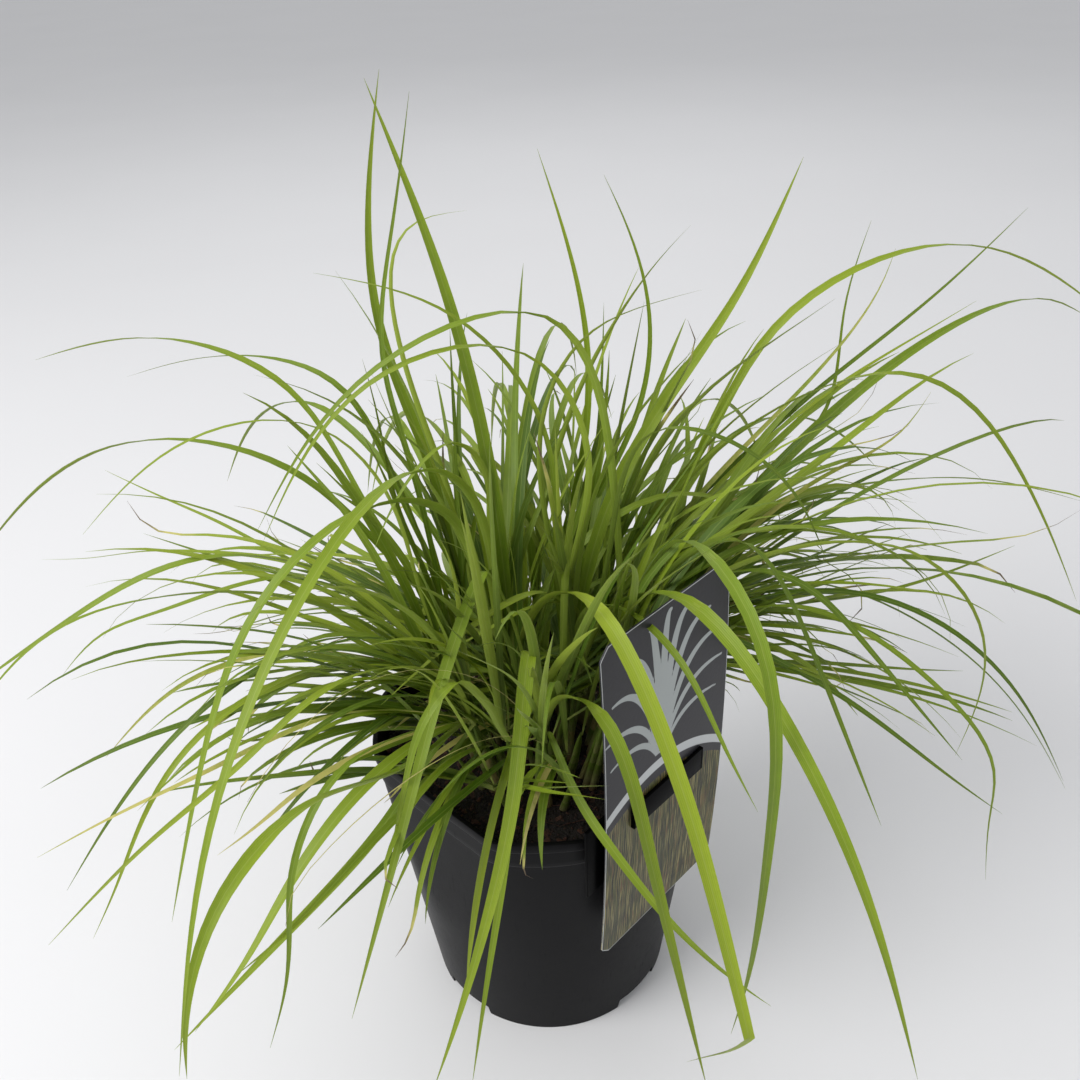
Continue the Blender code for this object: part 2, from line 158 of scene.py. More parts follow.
class Leaf(NamedTuple):
    """One long leaf. Points are (reach from the shoot's mouth, height over the floor), in mm."""

    shoot: str
    heading: float
    through: tuple[Span, ...]
    width: float
    sway: float = 0.0
    tone: Tone = Tone.FRESH


SHOOT_RING = "back back_right right front_right front front_left left back_left".split()
INNER_SHOOTS = {"inner_left": (-11 * MM, -8 * MM), "inner_right": (12 * MM, -14 * MM)}

# The leaves that are solids in the source, in the order of their numbers
SOLID_LEAVES = (
    Leaf("back_left", 280, ((14, 292), (29, 358), (27, 405), (17, 452)), 4.6),
    Leaf("inner_left", 287, ((0, 250), (3, 302), (15, 378), (38, 452)), 5.9),
    Leaf("left", 275, ((1, 250), (6, 312), (11, 357), (1, 408), (-9, 450)), 2.6, 0, Tone.GREEN),
    Leaf("back_left", 262, ((8, 285), (19, 340), (9, 398), (-11, 401)), 3.1),
    Leaf("inner_right", 275, ((5, 260), (10, 327), (45, 373), (92, 388)), 2.3, 0, Tone.GREEN),
    Leaf("right", 262, ((8, 305), (35, 371), (91, 362), (153, 294)), 3.4),
    Leaf("inner_right", 260, ((0, 250), (-9, 305), (18, 358), (65, 357), (124, 290)), 3.2),
    Leaf("back_left", 281, ((42, 262), (75, 327), (128, 346), (190, 334)), 3.2),
    Leaf("back_left", 292, ((31, 271), (57, 323), (97, 331), (172, 312)), 2.9, 0, Tone.GREEN),
    Leaf("left", 268, ((9, 250), (18, 300), (40, 328), (79, 330), (142, 286)), 2.2),
    Leaf("back_left", 272, ((29, 234), (73, 290), (140, 307), (234, 242)), 3.3),
    Leaf("left", 265, ((34, 252), (90, 274), (154, 250), (214, 212)), 3.5),
    Leaf("left", 256, ((50, 250), (108, 268), (152, 262), (196, 226)), 3.2, 0, Tone.GREEN),
    Leaf("inner_left", 210, ((5, 245), (18, 298), (56, 329), (122, 316), (178, 265), (215, 187)), 5.0),
    Leaf("inner_left", 232, ((10, 245), (24, 290), (52, 307), (102, 293), (144, 232), (173, 162)), 5.4),
    Leaf("front_left", 234, ((20, 236), (63, 250), (101, 235), (138, 221), (181, 198)), 3.0),
    Leaf("left", 240, ((45, 240), (104, 232), (141, 206), (176, 168)), 3.0, 0, Tone.GREEN),
    Leaf("left", 248, ((30, 219), (73, 237), (112, 234), (147, 209)), 2.8, 0, Tone.YELLOW),
    Leaf("front_left", 226, ((15, 198), (43, 180), (92, 158), (159, 138)), 4.6),
    Leaf("inner_left", 201, ((9, 227), (16, 262), (48, 254), (103, 213), (164, 163)), 5.2),
    Leaf("front", 180, ((5, 246), (17, 256), (35, 217), (60, 170), (95, 98)), 6.2, 50, Tone.LIME),
    Leaf("front", 150, ((18, 233), (43, 243), (73, 200), (94, 140), (112, 88)), 5.8, -6),
    Leaf("inner_left", 150, ((30, 252), (71, 276), (113, 249), (150, 191), (175, 137)), 6.4, 0, Tone.LIME),
    Leaf("right", 160, ((16, 255), (52, 297), (93, 291), (117, 208), (113, 111), (106, 64)), 5.2),
    Leaf("inner_right", 143, ((26, 250), (69, 276), (115, 254), (167, 190), (197, 127)), 6.0),
    Leaf("right", 130, ((20, 260), (51, 286), (84, 249), (124, 174)), 3.4, 0, Tone.GREEN),
    Leaf("right", 106, ((20, 242), (59, 259), (100, 228), (149, 170)), 3.2, 0, Tone.GREEN),
    Leaf("right", 101, ((25, 242), (61, 266), (112, 270), (147, 233), (149, 160)), 3.6),
    Leaf("right", 80, ((60, 218), (122, 219), (186, 234)), 2.6, 0, Tone.GREEN),
    Leaf("right", 105, ((25, 222), (62, 213), (98, 193), (147, 156), (172, 138)), 2.8, 0, Tone.GREEN),
    Leaf("right", 98, ((30, 228), (95, 244), (163, 203), (203, 140)), 2.6, 0, Tone.DEEP),
    Leaf("back_right", 85, ((20, 228), (50, 248), (109, 264), (178, 263), (237, 244)), 2.9),
    Leaf("back_right", 92, ((22, 250), (69, 308), (130, 327), (186, 278), (227, 207)), 3.0),
    Leaf("back_right", 75, ((32, 219), (79, 262), (144, 314), (224, 332), (244, 322)), 5.8),
    Leaf("back_right", 82, ((10, 232), (41, 279), (78, 346), (147, 373), (236, 330)), 3.8),
    Leaf("inner_right", 94, ((17, 269), (36, 322), (74, 311), (109, 258)), 2.8, 0, Tone.GREEN),
    Leaf("inner_right", 60, ((18, 277), (41, 313), (84, 360), (114, 410)), 5.8),
    Leaf("back", 60, ((30, 285), (32, 335), (10, 419)), 3.4),
    Leaf("back_right", 72, ((24, 236), (60, 268), (110, 305), (165, 340), (208, 374)), 2.4, 0, Tone.GREEN),
    Leaf("back", 352, ((10, 235), (35, 262), (85, 282), (130, 258), (168, 205)), 3.8),
    Leaf("back", 18, ((10, 240), (32, 270), (80, 288), (125, 270), (165, 226)), 3.4, 0, Tone.GREEN),
    Leaf("back_left", 335, ((8, 230), (30, 255), (80, 278), (125, 250), (160, 196)), 3.6),
    Leaf("back_left", 312, ((10, 232), (35, 262), (95, 292), (150, 270), (195, 216)), 3.4),
    Leaf("back_right", 38, ((8, 232), (32, 260), (85, 282), (135, 258), (176, 202)), 3.8),
    Leaf("back_right", 55, ((12, 230), (38, 252), (100, 276), (155, 256), (205, 213)), 3.2, 0, Tone.GREEN),
    Leaf("inner_left", 330, ((8, 250), (24, 285), (66, 300), (116, 268), (150, 215)), 3.2),
)

# More leaves that stand out one by one
MORE_LEAVES = (
    Leaf("front_left", 212, ((53, 212), (106, 239), (143, 234), (163, 211), (173, 179)), 6.6),
    Leaf("back_left", 292, ((78, 214), (107, 224), (137, 236), (168, 245), (203, 256)), 2.2),
    Leaf("left", 282, ((66, 247), (89, 252), (111, 258), (134, 265)), 2.4, 0, Tone.GREEN),
    Leaf("left", 280, ((48, 252), (102, 260), (136, 258), (162, 253), (185, 251)), 2.6),
    Leaf("inner_left", 240, ((4, 276), (8, 311), (19, 320), (36, 312), (57, 283)), 3.0),
    Leaf("left", 232, ((60, 236), (119, 229), (141, 209), (160, 181), (174, 162)), 3.0),
    Leaf("left", 262, ((60, 262), (117, 253), (140, 246), (162, 227)), 2.8),
    Leaf("front_left", 245, ((60, 226), (110, 220), (146, 214), (176, 207)), 2.6, 0, Tone.YELLOW),
    Leaf("front_left", 240, ((40, 205), (81, 199), (99, 191), (116, 185)), 3.0, 0, Tone.STRAW),
    Leaf("front_left", 222, ((30, 207), (69, 204), (103, 186), (129, 166), (153, 154)), 5.6),
    Leaf("front_left", 220, ((25, 186), (55, 179), (79, 175), (106, 170), (135, 171)), 3.4),
    Leaf("front_left", 218, ((40, 220), (80, 226), (103, 203), (111, 176), (119, 149), (132, 126)), 3.2),
    Leaf("right", 105, ((70, 242), (130, 210), (164, 162), (167, 136), (173, 93)), 2.4),
    Leaf("right", 95, ((60, 246), (130, 222), (189, 160), (211, 124)), 2.2, 0, Tone.GREEN),
    Leaf("inner_right", 150, ((16, 245), (41, 259), (79, 256), (104, 235), (124, 219)), 3.6),
    Leaf("back", 75, ((30, 255), (54, 307), (56, 352), (45, 388), (36, 407)), 2.8, 0, Tone.GREEN),
    Leaf("back", 95, ((8, 270), (22, 317), (40, 353), (59, 380), (68, 390)), 2.6),
    Leaf("inner_right", 90, ((-8, 270), (-7, 337), (11, 364), (31, 373), (51, 378)), 2.6),
    Leaf("back_right", 65, ((70, 245), (127, 286), (130, 334), (139, 373)), 2.2, 0, Tone.DEEP),
    Leaf("back_right", 72, ((60, 270), (117, 323), (137, 354), (140, 365)), 2.4, 0, Tone.YELLOW),
    Leaf("back_right", 75, ((60, 268), (120, 310), (161, 329), (181, 338)), 2.2),
    Leaf("right", 75, ((50, 257), (92, 283), (125, 298), (136, 314)), 2.4, 0, Tone.YELLOW),
    Leaf("inner_right", 75, ((50, 262), (107, 280), (129, 297), (143, 299)), 2.4),
    Leaf("front", 162, ((6, 205), (22, 196), (50, 175), (74, 140), (95, 105)), 4.0, -65),
    Leaf("front", 201, ((10, 212), (26, 214), (42, 187), (68, 140), (97, 93)), 3.6),
    Leaf("front", 210, ((2, 218), (10, 222), (21, 214), (33, 202), (50, 178), (72, 120)), 5.2, 0, Tone.LIME),
    Leaf("inner_right", 240, ((4, 238), (14, 249), (41, 249), (62, 241), (93, 225)), 3.2, 0, Tone.LIME),
    Leaf("inner_right", 252, ((2, 238), (13, 241), (32, 237), (58, 228)), 3.0),
    Leaf("front", 230, ((12, 202), (24, 226), (32, 242), (41, 252), (52, 248), (67, 224), (80, 186)), 3.8),
)

# Points past the kink of the one leaf that is bent over, numbered as in the source
KINKED_LEAF = 23
KINKED_TIP = ((168, 121), (153, 94), (141, 73))
KINKED_STATIONS = 14


def heading_vector(heading: float) -> np.ndarray:
    """The level unit vector of a heading in degrees."""
    turn = math.radians(heading)
    return np.array((math.sin(turn), math.cos(turn), 0.0))


def soft_least(values: list, blend: float) -> np.ndarray:
    """The least of some lengths, with the change from one to the next rounded off.

    Args:
        values: The lengths, each one number or one for each place.
        blend: How wide the change is.

    Returns:
        The least at each place.
    """
    stack = np.array(values)
    least = stack.min(axis=0)
    return least - blend * np.log(np.exp(-(stack - least) / blend).sum(axis=0))


def wall_radius(height: np.ndarray | float, turn: np.ndarray) -> np.ndarray:
    """The pot's outside radius.

    Args:
        height: Height over the floor.
        turn: Angles round the pot in radians, from +X towards +Y.

    Returns:
        The radius at each angle, before the collar and the lip step out.
    """
    cone = FOOT_RADIUS + (CONE_TOP_RADIUS - FOOT_RADIUS) * height / POT_HEIGHT
    lengths = [cone + np.zeros_like(turn)]
    for side in range(8):
        away = RIM_HALF_WIDTH if side % 2 == 0 else RIM_LONG_SIDE
        facing = np.maximum(np.cos(turn - side * math.pi / 4), 0.2)
        lengths.append(away / facing + np.zeros_like(turn))
    return soft_least(lengths, CORNER_BLEND / 4)


def soil_height(x: float, y: float) -> float:
    """The soil's top, level round the shoots and lumpy near the wall.

    Args:
        x: Place to the right.
        y: Place to the back.

    Returns:
        Its height over the floor.
    """
    away = math.hypot(x - CROWN[0], y - CROWN[1])
    rough = min(max((away - CROWN_RADIUS) / SOIL_EDGE, 0.0), 1.0)
    waves = math.sin(x / MM * 0.21 + 1) * math.cos(y / MM * 0.26)
    lumps = waves + 0.5 * math.sin((x + y) / MM * 0.4)
    return SOIL_TOP + SOIL_LUMP * rough * (0.6 * lumps - 0.5)


def shoot_line(name: str) -> tuple[np.ndarray, np.ndarray, np.ndarray]:
    """Where one of the source's shoots stands.

    Args:
        name: Its name, without the word shoot.

    Returns:
        Its foot and its mouth, as two points, and the way it leans.
    """
    if name in INNER_SHOOTS:
        x, y = INNER_SHOOTS[name]
        lean = 0.3 * math.tan(math.radians(RING_LEAN))
        out = np.array((x - CROWN[0], y - CROWN[1], 0.0))
        out /= np.linalg.norm(out)
    else:
        lean = math.tan(math.radians(RING_LEAN))
        out = heading_vector(45 * SHOOT_RING.index(name))
        x, y, _ = out * RING_RADIUS + np.array((*CROWN, 0.0))
    foot = np.array((x, y, SOIL_TOP + GAP))
    mouth = foot + out * SHOOT_HEIGHT * lean + np.array((0, 0, SHOOT_HEIGHT))
    return foot, mouth, out


def rim_frame() -> tuple[np.ndarray, np.ndarray, np.ndarray]:
    """A point on the floor below the label's side of the rim, the way along it and the way out."""
    out = heading_vector(LABEL_HEADING)
    along = heading_vector(LABEL_HEADING - 90)
    return out * (RIM_LONG_SIDE + LIP_STEP), along, out


def root_offset(leaf: Leaf) -> np.ndarray:
    """Where a solid leaf's root stands in its shoot's mouth, in one row in the order of the leans.

    Args:
        leaf: One of the solid leaves.

    Returns:
        The way from the middle of the mouth to the root.
    """
    _, _, out = shoot_line(leaf.shoot)
    mates = [other for other in SOLID_LEAVES if other.shoot == leaf.shoot]
    leans = []
    for mate in mates:
        reach, height = mate.through[0]
        leans.append(reach / (height - LEAN_FROM) * heading_vector(mate.heading) @ out)
    rank = sum(lean < leans[mates.index(leaf)] for lean in leans)
    return out * (rank - (len(mates) - 1) / 2) * LEAF_SPACING


def spline(knots: np.ndarray, shares: np.ndarray) -> np.ndarray:
    """A natural cubic spline.

    Args:
        knots: The points that it passes through.
        shares: Shares of its length.

    Returns:
        One point for each share.
    """
    steps = np.linalg.norm(np.diff(knots, axis=0), axis=1)
    pace = np.concatenate(((0.0,), np.cumsum(steps))) / steps.sum()
    gaps = np.diff(pace)
    system = np.eye(len(pace))
    slopes = np.diff(knots, axis=0) / gaps[:, None]
    bends = np.zeros_like(knots)
    for i in range(1, len(pace) - 1):
        system[i, i - 1 : i + 2] = gaps[i - 1], 2 * (gaps[i - 1] + gaps[i]), gaps[i]
        bends[i] = 6 * (slopes[i] - slopes[i - 1])
    bends = np.linalg.solve(system, bends)
    span = np.clip(np.searchsorted(pace, shares, side="right") - 1, 0, len(gaps) - 1)
    width = gaps[span][:, None]
    after = (shares - pace[span])[:, None]
    before = width - after
    curved = (before**3 * bends[span] + after**3 * bends[span + 1]) / (6 * width)
    start = (knots[span] / width - bends[span] * width / 6) * before
    end = (knots[span + 1] / width - bends[span + 1] * width / 6) * after
    return curved + start + end


def leaf_line(leaf: Leaf, shares: np.ndarray, offset: np.ndarray) -> np.ndarray:
    """Points on a leaf's middle line.

    Args:
        leaf: The leaf.
        shares: Shares of its length.
        offset: Where its root stands, from the middle of the shoot's mouth.

    Returns:
        One point for each share.
    """
    _, mouth, _ = shoot_line(leaf.shoot)
    knots = np.array(((0, mouth[2] + 2 * GAP), *(np.array(leaf.through) * MM)))
    reach, height = spline(knots, shares).T
    along = heading_vector(leaf.heading)
    across = heading_vector(leaf.heading + 90)
    line = mouth + np.outer(reach, along) + np.outer(leaf.sway * MM * shares**2, across)
    line += np.outer((1 - shares) ** 3, offset)
    line[:, 2] = height
    return line


def fullness(shares: np.ndarray) -> np.ndarray:
    """Share of a leaf's full width: narrow at the root, widest at a third, then a long taper."""
    rise = 0.32 + 0.68 * np.sin(np.minimum(shares / LEAF_WIDEST, 1) * math.pi / 2)
    fall = np.clip((shares - LEAF_WIDEST) / (1 - LEAF_WIDEST), 0, 1)
    return np.where(shares < LEAF_WIDEST, rise, (1 - fall**1.8) ** 0.9)


def turn_to_front(flow: np.ndarray, side: np.ndarray, upper: np.ndarray) -> np.ndarray:
    """The angle at each point that turns a blade's flat side to the front.

    Args:
        flow: Unit vectors along the blade.
        side: Unit vectors across it.
        upper: Unit vectors out of its upper face.

    Returns:
        Angles in radians, without a jump on the rise or on the fall.
    """
    front = np.cross((0.0, -1.0, 0.0), flow + 1e-6)
    angles = np.arctan2((front * upper).sum(axis=1), (front * side).sum(axis=1))
    falls = np.flatnonzero(flow[:, 2] < 0)
    top = falls[0] if len(falls) else len(flow)
    for part in (slice(0, top), slice(top, None)):
        if len(angles[part]):
            run = np.unwrap(angles[part], period=math.pi)
            weight = np.abs(flow[part, 2]) + 1e-6
            middle = (run * weight).sum() / weight.sum()
            angles[part] = run - math.pi * round(middle / math.pi)
    return angles


class NodeSheet:
    """Writes nodes into one node tree."""

    def __init__(self, tree: NodeTree) -> None:
        """Starts on a tree that is already there."""
        self.tree = tree

    def add(self, kind: str, inputs: dict | None = None, **settings: object) -> Node:
        """Adds a node.

        Args:
            kind: The node's type.
            inputs: A value, or a socket to link, for each input by name or number.
            settings: Properties of the node.

        Returns:
            The node.
        """
        node = self.tree.nodes.new(kind)
        for key, value in settings.items():
            setattr(node, key, value)
        for key, value in (inputs or {}).items():
            self.put(node.inputs[key], value)
        return node

    def put(self, socket: Socket, value: object) -> None:
        """Links a socket to an input, or sets the input's value.

        Args:
            socket: The input.
            value: An output socket, a number, a colour or a vector.
        """
        if isinstance(value, Socket):
            self.tree.links.new(value, socket)
        elif socket.type == "RGBA" and len(value) == 3:
            socket.default_value = (*value, 1)
        else:
            socket.default_value = value

    def math(self, operation: str, *values: object, clamp: bool = False) -> Socket:
        """The result of a Math node."""
        given = dict(enumerate(values))
        return self.add("ShaderNodeMath", given, operation=operation, use_clamp=clamp).outputs[0]

    def scaled(self, value: object, factor: object, shift: object) -> Socket:
        """A number times a factor, plus a shift."""
        return self.math("MULTIPLY_ADD", value, factor, shift)

    def mix(self, factor: object, first: object, second: object) -> Socket:
        """Two colours mixed by a factor."""
        given = {0: factor, 6: first, 7: second}
        return self.add("ShaderNodeMix", given, data_type="RGBA").outputs[2]

    def ramp(self, factor: object, stops: tuple[tuple[float, Colour], ...]) -> Socket:
        """A colour read from a ramp.

        Args:
            factor: Where on the ramp.
            stops: The ramp's (place, colour) pairs, in order.

        Returns:
            The colour.
        """
        node = self.add("ShaderNodeValToRGB", {0: factor})
        elements = node.color_ramp.elements
        while len(elements) < len(stops):
            elements.new(0.5)
        for element, (place, colour) in zip(elements, stops):
            element.position = place
            element.color = (*colour, 1)
        return node.outputs[0]

    def between(self, value: object, low: float, high: float, smooth: bool = True) -> Socket:
        """0 at the low end, 1 at the high end, and a change between them."""
        kind = "SMOOTHSTEP" if smooth else "LINEAR"
        given = {0: value, 1: low, 2: high}
        return self.add("ShaderNodeMapRange", given, interpolation_type=kind).outputs[0]

    def noise(self, place: object, scale: object, detail: float = 2.0) -> Socket:
        """A noise texture's value."""
        given = {"Vector": place, "Scale": scale, "Detail": detail}
        return self.add("ShaderNodeTexNoise", given).outputs["Fac"]

    def vector(self, operation: str, first: object, second: object) -> Socket:
        """The result of a Vector Math node."""
        given = {0: first, 1: second}
        return self.add("ShaderNodeVectorMath", given, operation=operation).outputs[0]

    def mapped(self, place: object, turn: float, scale: tuple) -> Socket:
        """A place turned about Z and scaled."""
        given = {"Vector": place, "Rotation": (0, 0, turn), "Scale": scale}
        return self.add("ShaderNodeMapping", given).outputs[0]

    def bump(self, height: object, strength: float, depth: float) -> Socket:
        """A normal bent by a height, with the depth in metres."""
        given = {"Height": height, "Strength": strength, "Distance": depth}
        return self.add("ShaderNodeBump", given).outputs[0]

    def attribute(self, name: str) -> Socket:
        """A number stored on the mesh."""
        return self.add("ShaderNodeAttribute", attribute_name=name).outputs["Fac"]

    def place(self) -> Socket:
        """The point's own place on the object."""
        return self.add("ShaderNodeTexCoord").outputs["Object"]

    def group(self, tree: NodeTree, **inputs: object) -> Node:
        """Places a shared group; an input's underscores stand for spaces."""
        named = {key.replace("_", " "): value for key, value in inputs.items()}
        return self.add("ShaderNodeGroup", named, node_tree=tree)


def shared_group(
    name: str, inputs: dict[str, float | None], outputs: tuple[str, ...]
) -> tuple[NodeTree, NodeSheet, Node, Node]:
    """Starts a shader node group that gives out numbers.

    Args:
        name: The group's name.
        inputs: Each input's default number, or None for a vector.
        outputs: The names of its outputs.

    Returns:
        The tree, its sheet, its inputs node and its outputs node.
    """
    tree = bpy.data.node_groups.new(name, "ShaderNodeTree")
    for key, value in inputs.items():
        kind = "NodeSocketVector" if value is None else "NodeSocketFloat"
        socket = tree.interface.new_socket(key, in_out="INPUT", socket_type=kind)
        if value is not None:
            socket.default_value = value
    for key in outputs:
        tree.interface.new_socket(key, in_out="OUTPUT", socket_type="NodeSocketFloat")
    sheet = NodeSheet(tree)
    return tree, sheet, sheet.add("NodeGroupInput"), sheet.add("NodeGroupOutput")


class Effects:
    """The shader node groups that several finishes share, each built once."""

    def __init__(self) -> None:
        """Builds the groups."""
        self.mottle = self.build_mottle()
        self.veins = self.build_veins()
        self.dust = self.build_dust()

    @staticmethod
    def build_mottle() -> NodeTree:
        """Cloudy light and dark patches at two scales, from 0 to 1 round a half.

        Returns:
            The group.
        """
        tree, sheet, given, made = shared_group(
            "mottle", {"Place": None, "Coarse": 40.0, "Fine": 400.0, "Balance": 0.4}, ("Value",)
        )
        place, coarse, fine, balance = given.outputs[:4]
        layers = {0: balance, 2: sheet.noise(place, coarse), 3: sheet.noise(place, fine)}
        both = sheet.add("ShaderNodeMix", layers, data_type="FLOAT").outputs[0]
        sheet.put(made.inputs[0], sheet.between(both, 0.28, 0.72, smooth=False))
        return tree

    @staticmethod
    def build_veins() -> NodeTree:
        """Parallel veins along a blade and the groove of its midrib.

        Returns:
            The group.
        """
        tree, sheet, given, made = shared_group(
            "veins", {"Across": 0.0, "Count": 9.0}, ("Ridge", "Midrib")
        )
        across, count = given.outputs[:2]
        turn = sheet.math("MULTIPLY", across, sheet.math("MULTIPLY", count, math.pi))
        wave = sheet.scaled(sheet.math("COSINE", turn), 0.5, 0.5)
        midrib = sheet.between(sheet.math("ABSOLUTE", across), 0.03, 0.17)
        sheet.put(made.inputs[0], sheet.math("POWER", wave, 1.6))
        sheet.put(made.inputs[1], sheet.math("SUBTRACT", 1.0, midrib))
        return tree

    @staticmethod
    def build_dust() -> NodeTree:
        """Fine specks and a thin film that settle on faces that look up.

        Returns:
            The group.
        """
        tree, sheet, given, made = shared_group(
            "settled_dust", {"Place": None, "Grain": 900.0, "Amount": 0.3}, ("Mask",)
        )
        place, grain, amount = given.outputs[:3]
        normal = sheet.add("ShaderNodeNewGeometry").outputs["Normal"]
        upward = sheet.add("ShaderNodeSeparateXYZ", {0: normal}).outputs[2]
        specks = sheet.add("ShaderNodeTexVoronoi", {"Vector": place, "Scale": grain})
        dots = sheet.math("SUBTRACT", 1.0, sheet.between(specks.outputs["Distance"], 0.05, 0.2))
        film = sheet.between(sheet.noise(place, 28.0, 5.0), 0.42, 0.75)
        film = sheet.math("MULTIPLY", film, sheet.between(upward, -0.2, 1.0))
        settled = sheet.math("ADD", film, sheet.math("MULTIPLY", dots, 0.35))
        sheet.put(made.inputs[0], sheet.math("MULTIPLY", settled, amount, clamp=True))
        return tree


class FinishSheet(NodeSheet):
    """Writes a new material round its Principled shader."""

    def __init__(self, name: str) -> None:
        """Makes the material."""
        self.material = bpy.data.materials.new(name)
        self.material.use_nodes = True
        super().__init__(self.material.node_tree)

    def feed(self, **inputs: object) -> None:
        """Links or sets the shader's inputs; an underscore stands for a space."""
        for key, value in inputs.items():
            self.put(self.tree.nodes["Principled BSDF"].inputs[key.replace("_", " ")], value)

    def patches(self, effects: Effects, coarse: float, fine: float, balance: float) -> Socket:
        """Cloudy patches at two scales, mixed by the balance."""
        sizes = {"Coarse": coarse, "Fine": fine, "Balance": balance}
        return self.group(effects.mottle, Place=self.place(), **sizes).outputs[0]

    def settled(self, effects: Effects, grain: float, amount: float) -> Socket:
        """Where dust has settled."""
        return self.group(effects.dust, Place=self.place(), Grain=grain, Amount=amount).outputs[0]


@dataclass(frozen=True)
class BladeFinish:
    """Living and dried leaf: finely veined, deep green to lime, straw and brown where dry."""

    deep: Colour = (0.062, 0.118, 0.006)
    green: Colour = (0.152, 0.228, 0.013)
    lime: Colour = (0.250, 0.325, 0.018)
    straw: Colour = (0.500, 0.460, 0.130)
    brown: Colour = (0.110, 0.070, 0.040)
    pale: Colour = (0.310, 0.370, 0.080)

    def living(self, sheet: FinishSheet, patches: Socket, veins: Node) -> Socket:
        """The living colour: the leaf's random tint with its painted shade, paler below, on the midrib and at
        the root.

        Args:
            sheet: The material's sheet.
            patches: Cloudy patches.
            veins: The group of the veins.

        Returns:
            The colour.
        """
        # The stored tint holds painted shade: darker towards the root and where the leaf hangs down.
        shade = sheet.math("ADD", sheet.attribute("shade"), sheet.scaled(patches, 0.24, -0.12))
        shade = sheet.math("ADD", shade, sheet.scaled(veins.outputs["Ridge"], 0.12, -0.06))
        colour = sheet.ramp(shade, ((0.0, self.deep), (0.45, self.green), (1.0, self.lime)))
        under = sheet.between(sheet.attribute("upper"), 0.1, -0.1, smooth=False)
        colour = sheet.mix(sheet.math("MULTIPLY", under, 0.22), colour, self.pale)
        midrib = sheet.math("MULTIPLY", veins.outputs["Midrib"], 0.28)
        colour = sheet.mix(midrib, colour, self.pale)
        return sheet.mix(sheet.between(sheet.attribute("along"), 0.10, 0.0), colour, self.pale)

    def material(self, effects: Effects) -> Material:
        """Builds the finish.

        Args:
            effects: The shared groups.

        Returns:
            The material.
        """
        sheet = FinishSheet("blade_finish")
        patches = sheet.patches(effects, 24.0, 300.0, 0.35)
        veins = sheet.group(effects.veins, Across=sheet.attribute("across"), Count=8.0)
        dry = sheet.attribute("dry")
        uneven = sheet.scaled(patches, 0.5, -0.25)
        blotch = sheet.math("MULTIPLY", uneven, sheet.between(dry, 0.02, 0.3))
        dried = sheet.math("ADD", dry, blotch)
        living = self.living(sheet, patches, veins)
        dead = sheet.mix(sheet.between(dried, 0.62, 0.98), self.straw, self.brown)
        relief = sheet.scaled(veins.outputs["Ridge"], 0.6, sheet.math("MULTIPLY", patches, 0.4))
        sheet.feed(
            Base_Color=sheet.mix(sheet.between(dried, 0.08, 0.60), living, dead),
            Roughness=sheet.scaled(patches, 0.16, 0.40),
            Normal=sheet.bump(relief, 0.35, 0.0002),
            Subsurface_Weight=0.08,
            Subsurface_Radius=(0.6, 1.0, 0.2),
            Subsurface_Scale=0.002,
            Specular_IOR_Level=0.30,
        )
        return sheet.material


@dataclass(frozen=True)
class SheathFinish:
    """Leaf sheaths: cream and brown at the foot, green above, with dried skins between."""

    foot: Colour = (0.13, 0.075, 0.035)
    cream: Colour = (0.24, 0.25, 0.09)
    green: Colour = (0.10, 0.17, 0.012)
    straw: Colour = (0.34, 0.26, 0.10)

    def material(self, effects: Effects) -> Material:
        """Builds the finish.

        Args:
            effects: The shared groups.

        Returns:
            The material.
        """
        sheet = FinishSheet("sheath_finish")
        patches = sheet.patches(effects, 90.0, 600.0, 0.4)
        veins = sheet.group(effects.veins, Across=sheet.attribute("across"), Count=7.0)
        along = sheet.math("ADD", sheet.attribute("along"), sheet.scaled(patches, 0.2, -0.1))
        stops = ((0.0, self.foot), (0.22, self.cream), (0.6, self.green), (1.0, self.green))
        dry = sheet.math("MULTIPLY", sheet.attribute("dry"), sheet.between(patches, 0.1, 0.6))
        colour = sheet.mix(dry, sheet.ramp(along, stops), self.straw)
        lines = sheet.math("MULTIPLY", veins.outputs["Ridge"], 0.22)
        sheet.feed(
            Base_Color=sheet.mix(lines, colour, self.foot),
            Roughness=sheet.scaled(patches, 0.2, 0.42),
            Normal=sheet.bump(veins.outputs["Ridge"], 0.3, 0.0002),
        )
        return sheet.material


@dataclass(frozen=True)
class PeatFinish:
    """Dark potting soil, its bark and its pale bits, told apart by a tone on each piece."""

    black: Colour = (0.006, 0.004, 0.003)
    brown: Colour = (0.016, 0.010, 0.007)
    bark: Colour = (0.110, 0.040, 0.022)
    pale: Colour = (0.420, 0.360, 0.280)

    def material(self, effects: Effects) -> Material:
        """Builds the finish.

        Args:
            effects: The shared groups.

        Returns:
            The material.
        """
        sheet = FinishSheet("peat_finish")
        patches = sheet.patches(effects, 110.0, 900.0, 0.5)
        tone = sheet.attribute("tone")
        soil = sheet.ramp(patches, ((0.0, self.black), (1.0, self.brown)))
        bark = sheet.ramp(patches, ((0.0, self.brown), (1.0, self.bark)))
        colour = sheet.mix(sheet.between(tone, 0.30, 0.45), soil, bark)
        sheet.feed(
            Base_Color=sheet.mix(sheet.between(tone, 0.86, 0.94), colour, self.pale),
            Roughness=sheet.scaled(patches, 0.15, 0.78),
            Normal=sheet.bump(patches, 0.8, 0.0012),
        )
        return sheet.material


